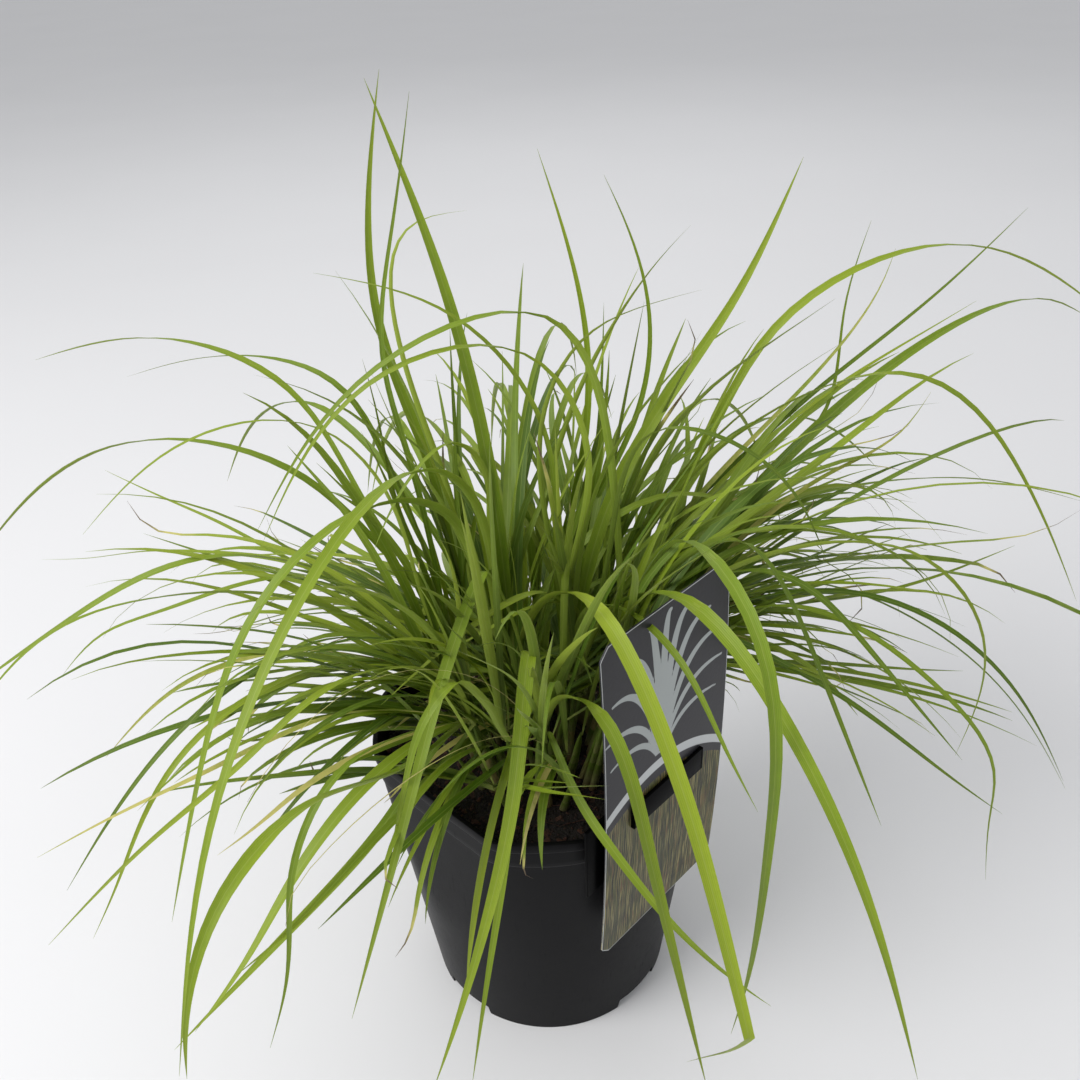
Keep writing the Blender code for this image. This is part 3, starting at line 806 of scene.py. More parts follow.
@dataclass(frozen=True)
class PotFinish:
    """Thin black moulded plastic: satin, a little scuffed and dusty."""

    black: Colour = (0.0022, 0.0022, 0.0027)
    worn: Colour = (0.0062, 0.0062, 0.0072)
    dust: Colour = (0.13, 0.12, 0.11)

    def material(self, effects: Effects) -> Material:
        """Builds the finish.

        Args:
            effects: The shared groups.

        Returns:
            The material.
        """
        sheet = FinishSheet("pot_plastic_finish")
        patches = sheet.patches(effects, 18.0, 260.0, 0.3)
        upright = sheet.mapped(sheet.place(), 0.0, (1.0, 1.0, 0.08))
        scratch = sheet.between(sheet.noise(upright, 900.0), 0.62, 0.75)
        colour = sheet.mix(sheet.math("MULTIPLY", patches, 0.5), self.black, self.worn)
        colour = sheet.mix(sheet.math("MULTIPLY", scratch, 0.25), colour, self.worn)
        dust = sheet.settled(effects, 700.0, 0.06)
        rough = sheet.scaled(patches, 0.10, 0.36)
        rough = sheet.math("ADD", rough, sheet.math("MULTIPLY", dust, 0.5))
        grain = sheet.noise(sheet.place(), 2400.0)
        sheet.feed(
            Base_Color=sheet.mix(dust, colour, self.dust),
            Roughness=sheet.math("ADD", rough, sheet.math("MULTIPLY", scratch, 0.08)),
            Normal=sheet.bump(grain, 0.12, 0.0003),
            Specular_IOR_Level=0.08,
        )
        return sheet.material


@dataclass(frozen=True)
class ClipFinish:
    """Glossy black plastic with fine rubs."""

    black: Colour = (0.0010, 0.0010, 0.0011)
    rubbed: Colour = (0.003, 0.003, 0.0033)
    dust: Colour = (0.14, 0.12, 0.10)

    def material(self, effects: Effects) -> Material:
        """Builds the finish.

        Args:
            effects: The shared groups.

        Returns:
            The material.
        """
        sheet = FinishSheet("clip_plastic_finish")
        patches = sheet.patches(effects, 60.0, 700.0, 0.5)
        colour = sheet.mix(sheet.math("MULTIPLY", patches, 0.4), self.black, self.rubbed)
        sheet.feed(
            Base_Color=sheet.mix(sheet.settled(effects, 800.0, 0.012), colour, self.dust),
            Roughness=sheet.scaled(patches, 0.12, 0.30),
            Normal=sheet.bump(patches, 0.06, 0.0004),
            Specular_IOR_Level=0.025,
        )
        return sheet.material


@dataclass(frozen=True)
class LabelFinish:
    """Printed card: charcoal with a pale ornament and band, meadow streaks below, a white edge.

    The marks on the card are distances in mm. Each edge is given as where its mark starts and where
    it is full.
    """

    charcoal: Colour = (0.024, 0.023, 0.027)
    faded: Colour = (0.040, 0.039, 0.045)
    ink: Colour = (0.42, 0.45, 0.45)
    white: Colour = (0.58, 0.60, 0.61)
    shade_ink: Colour = (0.014, 0.013, 0.010)
    olive: Colour = (0.046, 0.046, 0.017)
    tan: Colour = (0.250, 0.215, 0.085)
    russet: Colour = (0.170, 0.078, 0.034)
    moss: Colour = (0.092, 0.104, 0.028)
    ornament_edge: Span = (0.12, -0.12)
    panel_edge: Span = (-7.4, -7.8)
    band_edge: Span = (2.7, 2.4)
    border_edge: Span = (0.42, 0.22)
    streak: tuple[float, float, float] = (1.0, 0.024, 1.0)

    def meadow(self, sheet: NodeSheet, card: Socket) -> Socket:
        """The lower panel's streaks, as tall grass seen from the side.

        Args:
            sheet: The material's sheet.
            card: The point's place on the card, in millimetres.

        Returns:
            The colour.
        """
        drift = sheet.add("ShaderNodeTexNoise", {"Vector": card, "Scale": 0.05}).outputs["Color"]
        bent = sheet.vector("ADD", card, sheet.vector("MULTIPLY", drift, (3.0, 3.0, 0.0)))
        streaks = [
            sheet.noise(sheet.mapped(bent, turn, self.streak), scale, detail)
            for turn, scale, detail in ((0.08, 1.7, 3.0), (-0.20, 1.5, 1.0), (0.30, 1.9, 1.0))
        ]
        ground = sheet.ramp(
            streaks[0],
            ((0.38, self.shade_ink), (0.50, self.olive), (0.60, self.moss), (0.70, self.russet)),
        )
        patch = sheet.between(sheet.noise(card, 0.09, 1.0), 0.45, 0.65)
        warm = sheet.mix(patch, self.tan, self.russet)
        stalks = sheet.mix(sheet.between(streaks[1], 0.58, 0.64), ground, warm)
        return sheet.mix(sheet.between(streaks[2], 0.60, 0.66), stalks, self.tan)

    def material(self, effects: Effects) -> Material:
        """Builds the finish.

        Args:
            effects: The shared groups.

        Returns:
            The material.
        """
        sheet = FinishSheet("label_card_finish")
        card = sheet.add("ShaderNodeUVMap", uv_map="card").outputs[0]
        patches = sheet.patches(effects, 30.0, 500.0, 0.35)
        band = sheet.attribute("band")
        layers = (
            (sheet.attribute("ornament"), self.ornament_edge, self.ink),
            (band, self.panel_edge, self.meadow(sheet, card)),
            (sheet.math("ABSOLUTE", band), self.band_edge, self.white),
            (sheet.attribute("border"), self.border_edge, self.white),
        )
        colour = sheet.mix(patches, self.charcoal, self.faded)
        for mark, edge, over in layers:
            colour = sheet.mix(sheet.between(mark, *edge, smooth=False), colour, over)
        sheet.feed(
            Base_Color=sheet.mix(sheet.settled(effects, 1000.0, 0.05), colour, self.tan),
            Roughness=sheet.scaled(patches, 0.14, 0.32),
            Normal=sheet.bump(patches, 0.1, 0.0006),
            Specular_IOR_Level=0.25,
        )
        return sheet.material


@dataclass(frozen=True)
class FloorFinish:
    """Plain pale floor."""

    white: Colour = (0.78, 0.78, 0.79)
    darker: float = 0.96

    def material(self) -> Material:
        """Builds the finish.

        Returns:
            The material.
        """
        sheet = FinishSheet("pale_floor")
        grey = tuple(self.darker * part for part in self.white)
        cloud = sheet.noise(sheet.place(), 3.0)
        sheet.feed(Base_Color=sheet.mix(cloud, self.white, grey), Roughness=0.8)
        return sheet.material


class Strands:
    """Middle lines of blades, sheaths or roots, with what is read at each of their points."""

    NUMBERS = ("half", "along", "shade", "dry", "tone")

    def __init__(self) -> None:
        """Starts with no line."""
        self.points: list[np.ndarray] = []
        self.sides: list[np.ndarray] = []
        self.numbers: dict[str, list[np.ndarray]] = {key: [] for key in self.NUMBERS}

    def add(self, line: np.ndarray, side: np.ndarray, **numbers: object) -> None:
        """Adds a line.

        Args:
            line: Its points.
            side: The unit vector across it, at each point.
            numbers: half, shade, dry and tone, each one number or one for each point.
        """
        self.points.append(line)
        self.sides.append(side)
        numbers["along"] = np.linspace(0, 1, len(line))
        for key in self.NUMBERS:
            self.numbers[key].append(np.zeros(len(line)) + numbers.get(key, 0.0))

    def mesh(self, name: str) -> Mesh:
        """The lines as a mesh of edges, with the numbers as its attributes.

        Args:
            name: The mesh's name.

        Returns:
            The mesh.
        """
        made = bpy.data.meshes.new(name)
        edges, start = [], 0
        for line in self.points:
            edges += [(start + i, start + i + 1) for i in range(len(line) - 1)]
            start += len(line)
        made.from_pydata(np.concatenate(self.points).tolist(), edges, [])
        side = made.attributes.new("side", "FLOAT_VECTOR", "POINT")
        side.data.foreach_set("vector", np.concatenate(self.sides).astype(np.float32).ravel())
        for key, values in self.numbers.items():
            stored = made.attributes.new(key, "FLOAT", "POINT")
            stored.data.foreach_set("value", np.concatenate(values).astype(np.float32))
        return made


class NodesTool:
    """A Geometry Nodes tree with named inputs that turns a mesh into a finished one."""

    INPUTS: dict[str, str] = {}
    NAME = "tool"

    def __init__(self) -> None:
        """Makes the tree, its sockets and its nodes."""
        self.tree = bpy.data.node_groups.new(self.NAME, "GeometryNodeTree")
        interface = self.tree.interface
        interface.new_socket("Geometry", in_out="INPUT", socket_type="NodeSocketGeometry")
        self.identifiers = {
            key: interface.new_socket(key, in_out="INPUT", socket_type=kind).identifier
            for key, kind in self.INPUTS.items()
        }
        interface.new_socket("Geometry", in_out="OUTPUT", socket_type="NodeSocketGeometry")
        self.sheet = NodeSheet(self.tree)
        self.given = self.sheet.add("NodeGroupInput")
        made = self.sheet.add("GeometryNodeRealizeInstances", {0: self.build()}).outputs[0]
        dressed = {"Geometry": made, "Material": self.given.outputs["Finish"]}
        finish = self.sheet.add("GeometryNodeSetMaterial", dressed)
        self.sheet.add("NodeGroupOutput", {0: finish.outputs[0]})

    def build(self) -> Socket:
        """Writes the tree's own nodes and returns the geometry they make."""
        raise NotImplementedError

    def mark(self, geometry: Socket, name: str, value: Socket, domain: str) -> Socket:
        """Stores a number on the geometry under a name."""
        given = {"Geometry": geometry, "Name": name, "Value": value}
        kind = "GeometryNodeStoreNamedAttribute"
        return self.sheet.add(kind, given, data_type="FLOAT", domain=domain).outputs[0]

    def apply(self, base: Mesh, name: str, crease: float, **inputs: object) -> Piece:
        """Runs the tree on a mesh.

        Args:
            base: The mesh it starts from.
            name: The finished piece's name.
            crease: Angle in degrees above which an edge is sharp.
            inputs: The tree's named inputs; an underscore stands for a space.

        Returns:
            A new object with a plain mesh.
        """
        carrier = bpy.data.objects.new(f"{name}_base", base)
        bpy.context.scene.collection.objects.link(carrier)
        modifier = carrier.modifiers.new(self.NAME, "NODES")
        modifier.node_group = self.tree
        for key, value in inputs.items():
            modifier[self.identifiers[key.replace("_", " ")]] = value
        graph = bpy.context.evaluated_depsgraph_get()
        mesh = bpy.data.meshes.new_from_object(carrier.evaluated_get(graph))
        carrier.modifiers.remove(modifier)
        bpy.data.objects.remove(carrier)
        return stand(name, mesh, crease)


def stand(name: str, mesh: Mesh, crease: float) -> Piece:
    """Links a mesh as an object at the origin.

    Args:
        name: The object's name.
        mesh: Its mesh.
        crease: Angle in degrees above which an edge is sharp.

    Returns:
        The object.
    """
    mesh.name = name
    mesh.shade_smooth()
    mesh.set_sharp_from_angle(angle=math.radians(crease))
    made = bpy.data.objects.new(name, mesh)
    bpy.context.scene.collection.objects.link(made)
    return made


class SweepTool(NodesTool):
    """Sweeps a folded, lens-shaped section along every line of a mesh."""

    NAME = "sweep_section"
    INPUTS = {
        "Sides": "NodeSocketInt",
        "Fold": "NodeSocketFloat",
        "Thickness": "NodeSocketFloat",
        "Finish": "NodeSocketMaterial",
    }

    def build(self) -> Socket:
        """Turns the lines into curves, presses and folds a circle into the section, and sweeps it.

        Returns:
            The swept mesh.
        """
        sheet, given = self.sheet, self.given.outputs
        line = sheet.add("GeometryNodeMeshToCurve", {0: given["Geometry"]})
        named = "GeometryNodeInputNamedAttribute"
        side = sheet.add(named, {"Name": "side"}, data_type="FLOAT_VECTOR")
        turned = sheet.add("GeometryNodeSetCurveNormal", {"Curve": line.outputs[0]}, mode="FREE")
        sheet.put(turned.inputs["Normal"], side.outputs[0])
        circle = {"Resolution": given["Sides"], "Radius": 1.0}
        marked = sheet.add("GeometryNodeCurvePrimitiveCircle", circle).outputs["Curve"]
        position = sheet.add("GeometryNodeInputPosition").outputs[0]
        across, upper, _ = sheet.add("ShaderNodeSeparateXYZ", {0: position}).outputs
        lift = sheet.math("MULTIPLY", sheet.math("ABSOLUTE", across), given["Fold"])
        height = sheet.scaled(upper, given["Thickness"], lift)
        section = sheet.add("ShaderNodeCombineXYZ", {0: across, 1: height}).outputs[0]
        for key, value in (("across", across), ("upper", upper)):
            marked = self.mark(marked, key, value, "POINT")
        pressed = sheet.add("GeometryNodeSetPosition", {"Geometry": marked, "Position": section})
        half = sheet.add(named, {"Name": "half"}, data_type="FLOAT")
        swept = {"Curve": turned.outputs[0], "Profile Curve": pressed.outputs[0]}
        swept = sheet.add(
            "GeometryNodeCurveToMesh", {**swept, "Scale": half.outputs[0], "Fill Caps": True}
        )
        return swept.outputs[0]


class ScatterTool(NodesTool):
    """Scatters lumpy bits over the upward faces of a mesh."""

    NAME = "scatter_bits"
    INPUTS = {
        "Density": "NodeSocketFloat",
        "Smallest": "NodeSocketVector",
        "Largest": "NodeSocketVector",
        "Tilt": "NodeSocketFloat",
        "Palest": "NodeSocketFloat",
        "Darkest": "NodeSocketFloat",
        "Seed": "NodeSocketInt",
        "Finish": "NodeSocketMaterial",
    }
    STEEPEST = 0.3  # least upward part of a face's normal that still holds bits

    def random(self, kind: str, low: object, high: object, step: int) -> Socket:
        """A random value between two ends, with its own seed.

        Args:
            kind: FLOAT or FLOAT_VECTOR.
            low: The lower end.
            high: The upper end.
            step: What is added to the tree's seed.

        Returns:
            The value.
        """
        seed = self.sheet.math("ADD", self.given.outputs["Seed"], float(step))
        ends = ("Min", "Max") if kind == "FLOAT_VECTOR" else (2, 3)
        given = {ends[0]: low, ends[1]: high, "Seed": seed}
        node = self.sheet.add("FunctionNodeRandomValue", given, data_type=kind)
        return node.outputs[0 if kind == "FLOAT_VECTOR" else 1]

    def build(self) -> Socket:
        """Sets a bit on points of the upward faces, each sized, turned and toned at random.

        Returns:
            The bits, as instances.
        """
        sheet, given = self.sheet, self.given.outputs
        normal = sheet.add("GeometryNodeInputNormal").outputs[0]
        rising = sheet.add("ShaderNodeSeparateXYZ", {0: normal}).outputs[2]
        upward = sheet.add("FunctionNodeCompare", {0: rising, 1: self.STEEPEST}, data_type="FLOAT")
        points = sheet.add(
            "GeometryNodeDistributePointsOnFaces",
            {
                "Mesh": given["Geometry"],
                "Selection": upward.outputs[0],
                "Density": given["Density"],
                "Seed": given["Seed"],
            },
        )
        bit = sheet.add("GeometryNodeMeshIcoSphere", {"Radius": 1.0, "Subdivisions": 1})
        tilt = given["Tilt"]
        back = sheet.math("MULTIPLY", tilt, -1.0)
        least = sheet.add("ShaderNodeCombineXYZ", {0: back, 1: back}).outputs[0]
        most = sheet.add("ShaderNodeCombineXYZ", {0: tilt, 1: tilt, 2: math.tau}).outputs[0]
        turn = self.random("FLOAT_VECTOR", least, most, 1)
        size = self.random("FLOAT_VECTOR", given["Smallest"], given["Largest"], 2)
        turned = {"Instance": bit.outputs[0], "Rotation": turn, "Scale": size}
        placed = sheet.add(
            "GeometryNodeInstanceOnPoints", {"Points": points.outputs[0], **turned}
        )
        tone = self.random("FLOAT", given["Darkest"], given["Palest"], 3)
        return self.mark(placed.outputs[0], "tone", tone, "INSTANCE")


@dataclass
class Workshop:
    """What every sub-assembly is built with: the tools, the shared effects and the finishes."""

    effects: Effects = field(default_factory=Effects)
    sweep: SweepTool = field(default_factory=SweepTool)
    scatter: ScatterTool = field(default_factory=ScatterTool)
    finishes: dict[str, Material] = field(default_factory=dict)

    def __post_init__(self) -> None:
        """Builds each finish once, under the name of its slot."""
        kinds = {
            "blade": BladeFinish(),
            "sheath": SheathFinish(),
            "peat": PeatFinish(),
            "pot_plastic": PotFinish(),
            "clip_plastic": ClipFinish(),
            "label_card": LabelFinish(),
        }
        for slot, finish in kinds.items():
            self.finishes[slot] = finish.material(self.effects)


def settle(piece: Piece, slot: str, *nodes: str) -> None:
    """Hands a finished piece over: its body and the nodes it stands for.

    Args:
        piece: The piece.
        slot: The name of its finish; not used.
        nodes: The solids that it takes the place of.
    """
    if nodes:
        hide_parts(*nodes)
    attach(piece, "root")
    triangles = sum(len(face.vertices) - 2 for face in piece.data.polygons)
    LOG.info("%s: %d triangles", piece.name, triangles)


def skin(rings: list[np.ndarray]) -> bmesh.types.BMesh:
    """A closed mesh over rings of points, of which the first and the last may be single points.

    Args:
        rings: The rings, in order.

    Returns:
        The mesh, with its faces outwards.
    """
    mesh = bmesh.new()
    loops = [[mesh.verts.new(point) for point in ring] for ring in rings]
    for below, above in zip(loops, loops[1:]):
        count = max(len(below), len(above))
        for i in range(count):
            j = (i + 1) % count
            if len(above) == 1:
                mesh.faces.new((below[i], below[j], above[0]))
            elif len(below) == 1:
                mesh.faces.new((below[0], above[j], above[i]))
            else:
                mesh.faces.new((below[i], below[j], above[j], above[i]))
    for end in (loops[0][::-1], loops[-1]):
        if len(end) > 2:
            mesh.faces.new(end)
    bmesh.ops.recalc_face_normals(mesh, faces=mesh.faces)
    return mesh


def to_mesh(name: str, mesh: bmesh.types.BMesh, finish: Material) -> Mesh:
    """Turns a bmesh into mesh data.

    Args:
        name: The data's name.
        mesh: The bmesh, which is freed.
        finish: Its one material.

    Returns:
        The data.
    """
    data = bpy.data.meshes.new(name)
    mesh.to_mesh(data)
    mesh.free()
    data.materials.append(finish)
    return data


@dataclass
class NurseryPot:
    """The pot: round at the foot, eight-sided at the rim, with collar, lip, feet and drains."""

    columns: int = 288
    notch_half: float = 14 * MM
    notch_height: float = 6 * MM
    notch_edge: float = 0.5 * MM
    drain_radius: float = 5 * MM
    drain_ring: float = 38 * MM
    drain_sides: int = 36
    crease: float = 32

    def turns(self) -> np.ndarray:
        """The columns of the pot's mesh, closer together at the notches' edges.

        Returns:
            Their angles in radians.
        """
        even = np.arange(self.columns) * math.tau / self.columns
        half = self.notch_half / FOOT_RADIUS
        edge = self.notch_edge / FOOT_RADIUS
        corners = [
            math.radians(45 + 90 * number) + side * (half + step)
            for number in range(4)
            for side in (-1, 1)
            for step in (-edge, 0.0, edge)
        ]
        return np.unique(np.round(np.concatenate((even, np.array(corners) % math.tau)), 6))

    def ring(self, height: np.ndarray | float, offset: float, turns: np.ndarray) -> np.ndarray:
        """Points round the pot at a height, moved out by an offset."""
        radius = wall_radius(height, turns) + offset
        level = np.zeros_like(turns) + height
        return np.stack((radius * np.cos(turns), radius * np.sin(turns), level), axis=1)

    def foot_lift(self, turns: np.ndarray) -> np.ndarray:
        """How high the foot's edge stands over the floor.

        Args:
            turns: Angles round the pot in radians.

        Returns:
            The height at each angle, more than nothing in the four notches.
        """
        lift = np.zeros_like(turns)
        half, edge = self.notch_half / FOOT_RADIUS, self.notch_edge / FOOT_RADIUS
        for number in range(4):
            away = np.abs((turns - math.radians(45 + 90 * number) + math.pi) % math.tau - math.pi)
            lift = np.maximum(lift, self.notch_height * np.clip((half - away) / edge + 0.5, 0, 1))
        return lift

    def build(self, shop: Workshop) -> None:
        """Builds the pot and its holes.

        Args:
            shop: The tools and finishes.
        """
        turns = self.turns()
        lift = self.foot_lift(turns)
        collar = POT_HEIGHT - COLLAR_HEIGHT
        lip = POT_HEIGHT - LIP_HEIGHT
        floor_top = FLOOR_RECESS + WALL
        foot = (
            (FLOOR_RECESS, -WALL - 12 * MM),
            (FLOOR_RECESS, -WALL - 1 * MM),
            (np.maximum(lift, 0.3 * MM), -WALL),
            (lift, -WALL + 0.3 * MM),
            (lift, -0.4 * MM),
            (lift + 0.4 * MM, 0.0),
        )
        body = [(height, 0.0) for height in np.linspace(lift + 2 * MM, collar - 1.2 * MM, 34)]
        rim = (
            (collar - 0.5 * MM, 0.03 * MM),
            (collar - 0.1 * MM, 0.3 * MM),
            (collar + 0.3 * MM, COLLAR_STEP),
            (collar + 3 * MM, COLLAR_STEP),
            (lip - 3 * MM, COLLAR_STEP),
            (lip - 0.5 * MM, COLLAR_STEP + 0.03 * MM),
            (lip - 0.1 * MM, LIP_STEP - 0.1 * MM),
            (lip + 0.3 * MM, LIP_STEP),
            (POT_HEIGHT - 0.7 * MM, LIP_STEP),
            (POT_HEIGHT - 0.2 * MM, LIP_STEP - 0.2 * MM),
            (POT_HEIGHT, LIP_STEP - 0.7 * MM),
            (POT_HEIGHT, -WALL + 0.6 * MM),
            (POT_HEIGHT - 0.2 * MM, -WALL + 0.15 * MM),
            (POT_HEIGHT - 0.7 * MM, -WALL),
        )
        levels = np.linspace(POT_HEIGHT - 6 * MM, floor_top + 1 * MM, 12)
        inner = [(height, -WALL) for height in levels]
        profile = (*foot, *body, *rim, *inner, (floor_top, -WALL - 1 * MM))
        rings = [np.array([(0.0, 0.0, FLOOR_RECESS)])]
        rings += [self.ring(height, offset, turns) for height, offset in profile]
        rings.append(np.array([(0.0, 0.0, floor_top)]))
        data = to_mesh("pot_shell", skin(rings), shop.finishes["pot_plastic"])
        pot = stand("pot_shell", data, self.crease)
        self.drill(pot)
        settle(pot, "pot_plastic", "pot")

    def drill(self, pot: Piece) -> None:
        """Cuts the four drain holes through the floor.

        Args:
            pot: The pot, whose mesh is changed.
        """
        block = bmesh.new()
        for number in range(4):
            turn = math.radians(90 + 90 * number)
            x, y = self.drain_ring * math.cos(turn), self.drain_ring * math.sin(turn)
            bmesh.ops.create_cone(
                block,
                cap_ends=True,
                segments=self.drain_sides,
                radius1=self.drain_radius,
                radius2=self.drain_radius,
                depth=8 * MM,
                matrix=Matrix.Translation((x, y, FLOOR_RECESS)),
            )
        data = to_mesh("drain_cutter", block, pot.data.materials[0])
        cutter = bpy.data.objects.new("drain_cutter", data)
        bpy.context.scene.collection.objects.link(cutter)
        modifier = pot.modifiers.new("drains", "BOOLEAN")
        modifier.operation = "DIFFERENCE"
        modifier.solver = "EXACT"
        modifier.object = cutter
        graph = bpy.context.evaluated_depsgraph_get()
        drilled = bpy.data.meshes.new_from_object(pot.evaluated_get(graph))
        pot.modifiers.remove(modifier)
        pot.data = drilled
        pot.data.set_sharp_from_angle(angle=math.radians(self.crease))
        bpy.data.objects.remove(cutter)


class Bits(NamedTuple):
    """Small things that lie on the soil by one rule. Sizes are half lengths in mm."""

    name: str
    density: float
    smallest: tuple[float, float, float]
    largest: tuple[float, float, float]
    tilt: float
    darkest: float
    palest: float
    seed: int


@dataclass
class RootBall:
    """The soil: a lumpy top with crumbs, bark, pale bits and roots, over a plain root ball."""

    columns: int = 200
    rows: int = 70
    coarse_lump: Span = (9 * MM, 1.1 * MM)
    fine_lump: Span = (2.6 * MM, 0.6 * MM)
    bits: tuple[Bits, ...] = (
        Bits("soil_crumbs", 210000.0, (0.5, 0.5, 0.35), (1.5, 1.3, 0.9), 0.5, 0.0, 0.5, 11),
        Bits("soil_bark", 9000.0, (1.4, 0.7, 0.35), (5.0, 2.2, 1.0), 0.45, 0.35, 0.8, 23),
        Bits("soil_pale_bits", 350.0, (0.4, 0.4, 0.3), (1.0, 0.8, 0.7), 0.6, 0.92, 1.0, 31),
    )
    bit_crease: float = 28
    roots: int = 46
    root_points: int = 12
    least_points: int = 4
    root_step: float = 2.2 * MM
    root_reach: float = 70 * MM
    root_limit: float = 66 * MM
    root_tones: tuple[float, float, float] = (0.55, 0.7, 0.95)
    seed: int = 5

    def height(self, x: float, y: float) -> float:
        """The top's height with its fine lumps, each given as (width, height)."""
        coarse = noise.noise(Vector((x, y, 0.0)) / self.coarse_lump[0])
        fine = noise.noise(Vector((x, y, 0.3)) / self.fine_lump[0])
        return soil_height(x, y) + self.coarse_lump[1] * coarse + self.fine_lump[1] * fine

    def shell(self, shop: Workshop) -> Mesh:
        """Builds the root ball's closed surface.

        Args:
            shop: The finishes.

        Returns:
            Its mesh.
        """
        turns = np.arange(self.columns) * math.tau / self.columns
        inset = WALL + SOIL_CLEAR
        rings = []
        for height in np.linspace(FLOOR_RECESS + WALL + GAP, SOIL_TOP - 7 * MM, 9):
            radius = wall_radius(height, turns) - inset
            level = turns * 0 + height
            rings.append(np.stack((radius * np.cos(turns), radius * np.sin(turns), level), axis=1))
        edge = wall_radius(SOIL_TOP, turns) - inset
        for share in np.linspace(0.995, 0.02, self.rows):
            ring = [(r * share * math.cos(a), r * share * math.sin(a)) for r, a in zip(edge, turns)]
            rings.append(np.array([(x, y, self.height(x, y)) for x, y in ring]))
        rings.append(np.array([(0.0, 0.0, self.height(0.0, 0.0))]))
        return to_mesh("soil_top", skin(rings), shop.finishes["peat"])

    def root(self, chance: Chance) -> list[tuple[float, float, float]]:
        """One root's wandering line.

        Args:
            chance: Source of its way.

        Returns:
            Its points, up to where it would meet the wall.
        """
        away = self.root_reach * math.sqrt(chance.uniform(0.05, 0.85))
        turn = chance.uniform(0, math.tau)
        at = np.array((away * math.cos(turn), away * math.sin(turn)))
        way = chance.uniform(0, math.tau)
        line = []
        for _ in range(self.root_points):
            way += chance.normal(0, 0.32)
            at = at + self.root_step * np.array((math.cos(way), math.sin(way)))
            if math.hypot(*at) > self.root_limit:
                break
            lift = chance.uniform(0.5, 1.9) * MM
            line.append((*at, self.height(*at) + lift))
        return line

    def add_roots(self, shop: Workshop) -> Piece:
        """Lays fine roots and shreds over the soil.

        Args:
            shop: The sweep and the finishes.

        Returns:
            The roots, as one piece.
        """
        chance = np.random.default_rng(self.seed)
        strands = Strands()
        for _ in range(self.roots):
            line = np.array(self.root(chance))
            if len(line) < self.least_points:
                continue
            side = np.cross(np.gradient(line, axis=0), (0.0, 0.0, 1.0))
            side /= np.linalg.norm(side, axis=1)[:, None]
            half = chance.uniform(0.12, 0.34) * MM * np.linspace(1, 0.3, len(line))
            tone = chance.choice(self.root_tones, p=(0.6, 0.33, 0.07))
            strands.add(line, side, half=half, tone=tone)
        section = {"Sides": 5, "Fold": 0.0, "Thickness": 1.0, "Finish": shop.finishes["peat"]}
        return shop.sweep.apply(strands.mesh("soil_roots"), "soil_roots", 40, **section)

    def build(self, shop: Workshop) -> None:
        """Builds the root ball and what lies on it.

        Args:
            shop: The tools and finishes.
        """
        base = self.shell(shop)
        made = [
            shop.scatter.apply(
                base.copy(),
                bits.name,
                self.bit_crease,
                Density=bits.density,
                Smallest=tuple(size * MM for size in bits.smallest),
                Largest=tuple(size * MM for size in bits.largest),
                Tilt=bits.tilt,
                Darkest=bits.darkest,
                Palest=bits.palest,
                Seed=bits.seed,
                Finish=shop.finishes["peat"],
            )
            for bits in self.bits
        ]
        made.append(self.add_roots(shop))
        settle(stand("soil_top", base, 60), "peat", "soil")
        for piece in made:
            settle(piece, "peat")


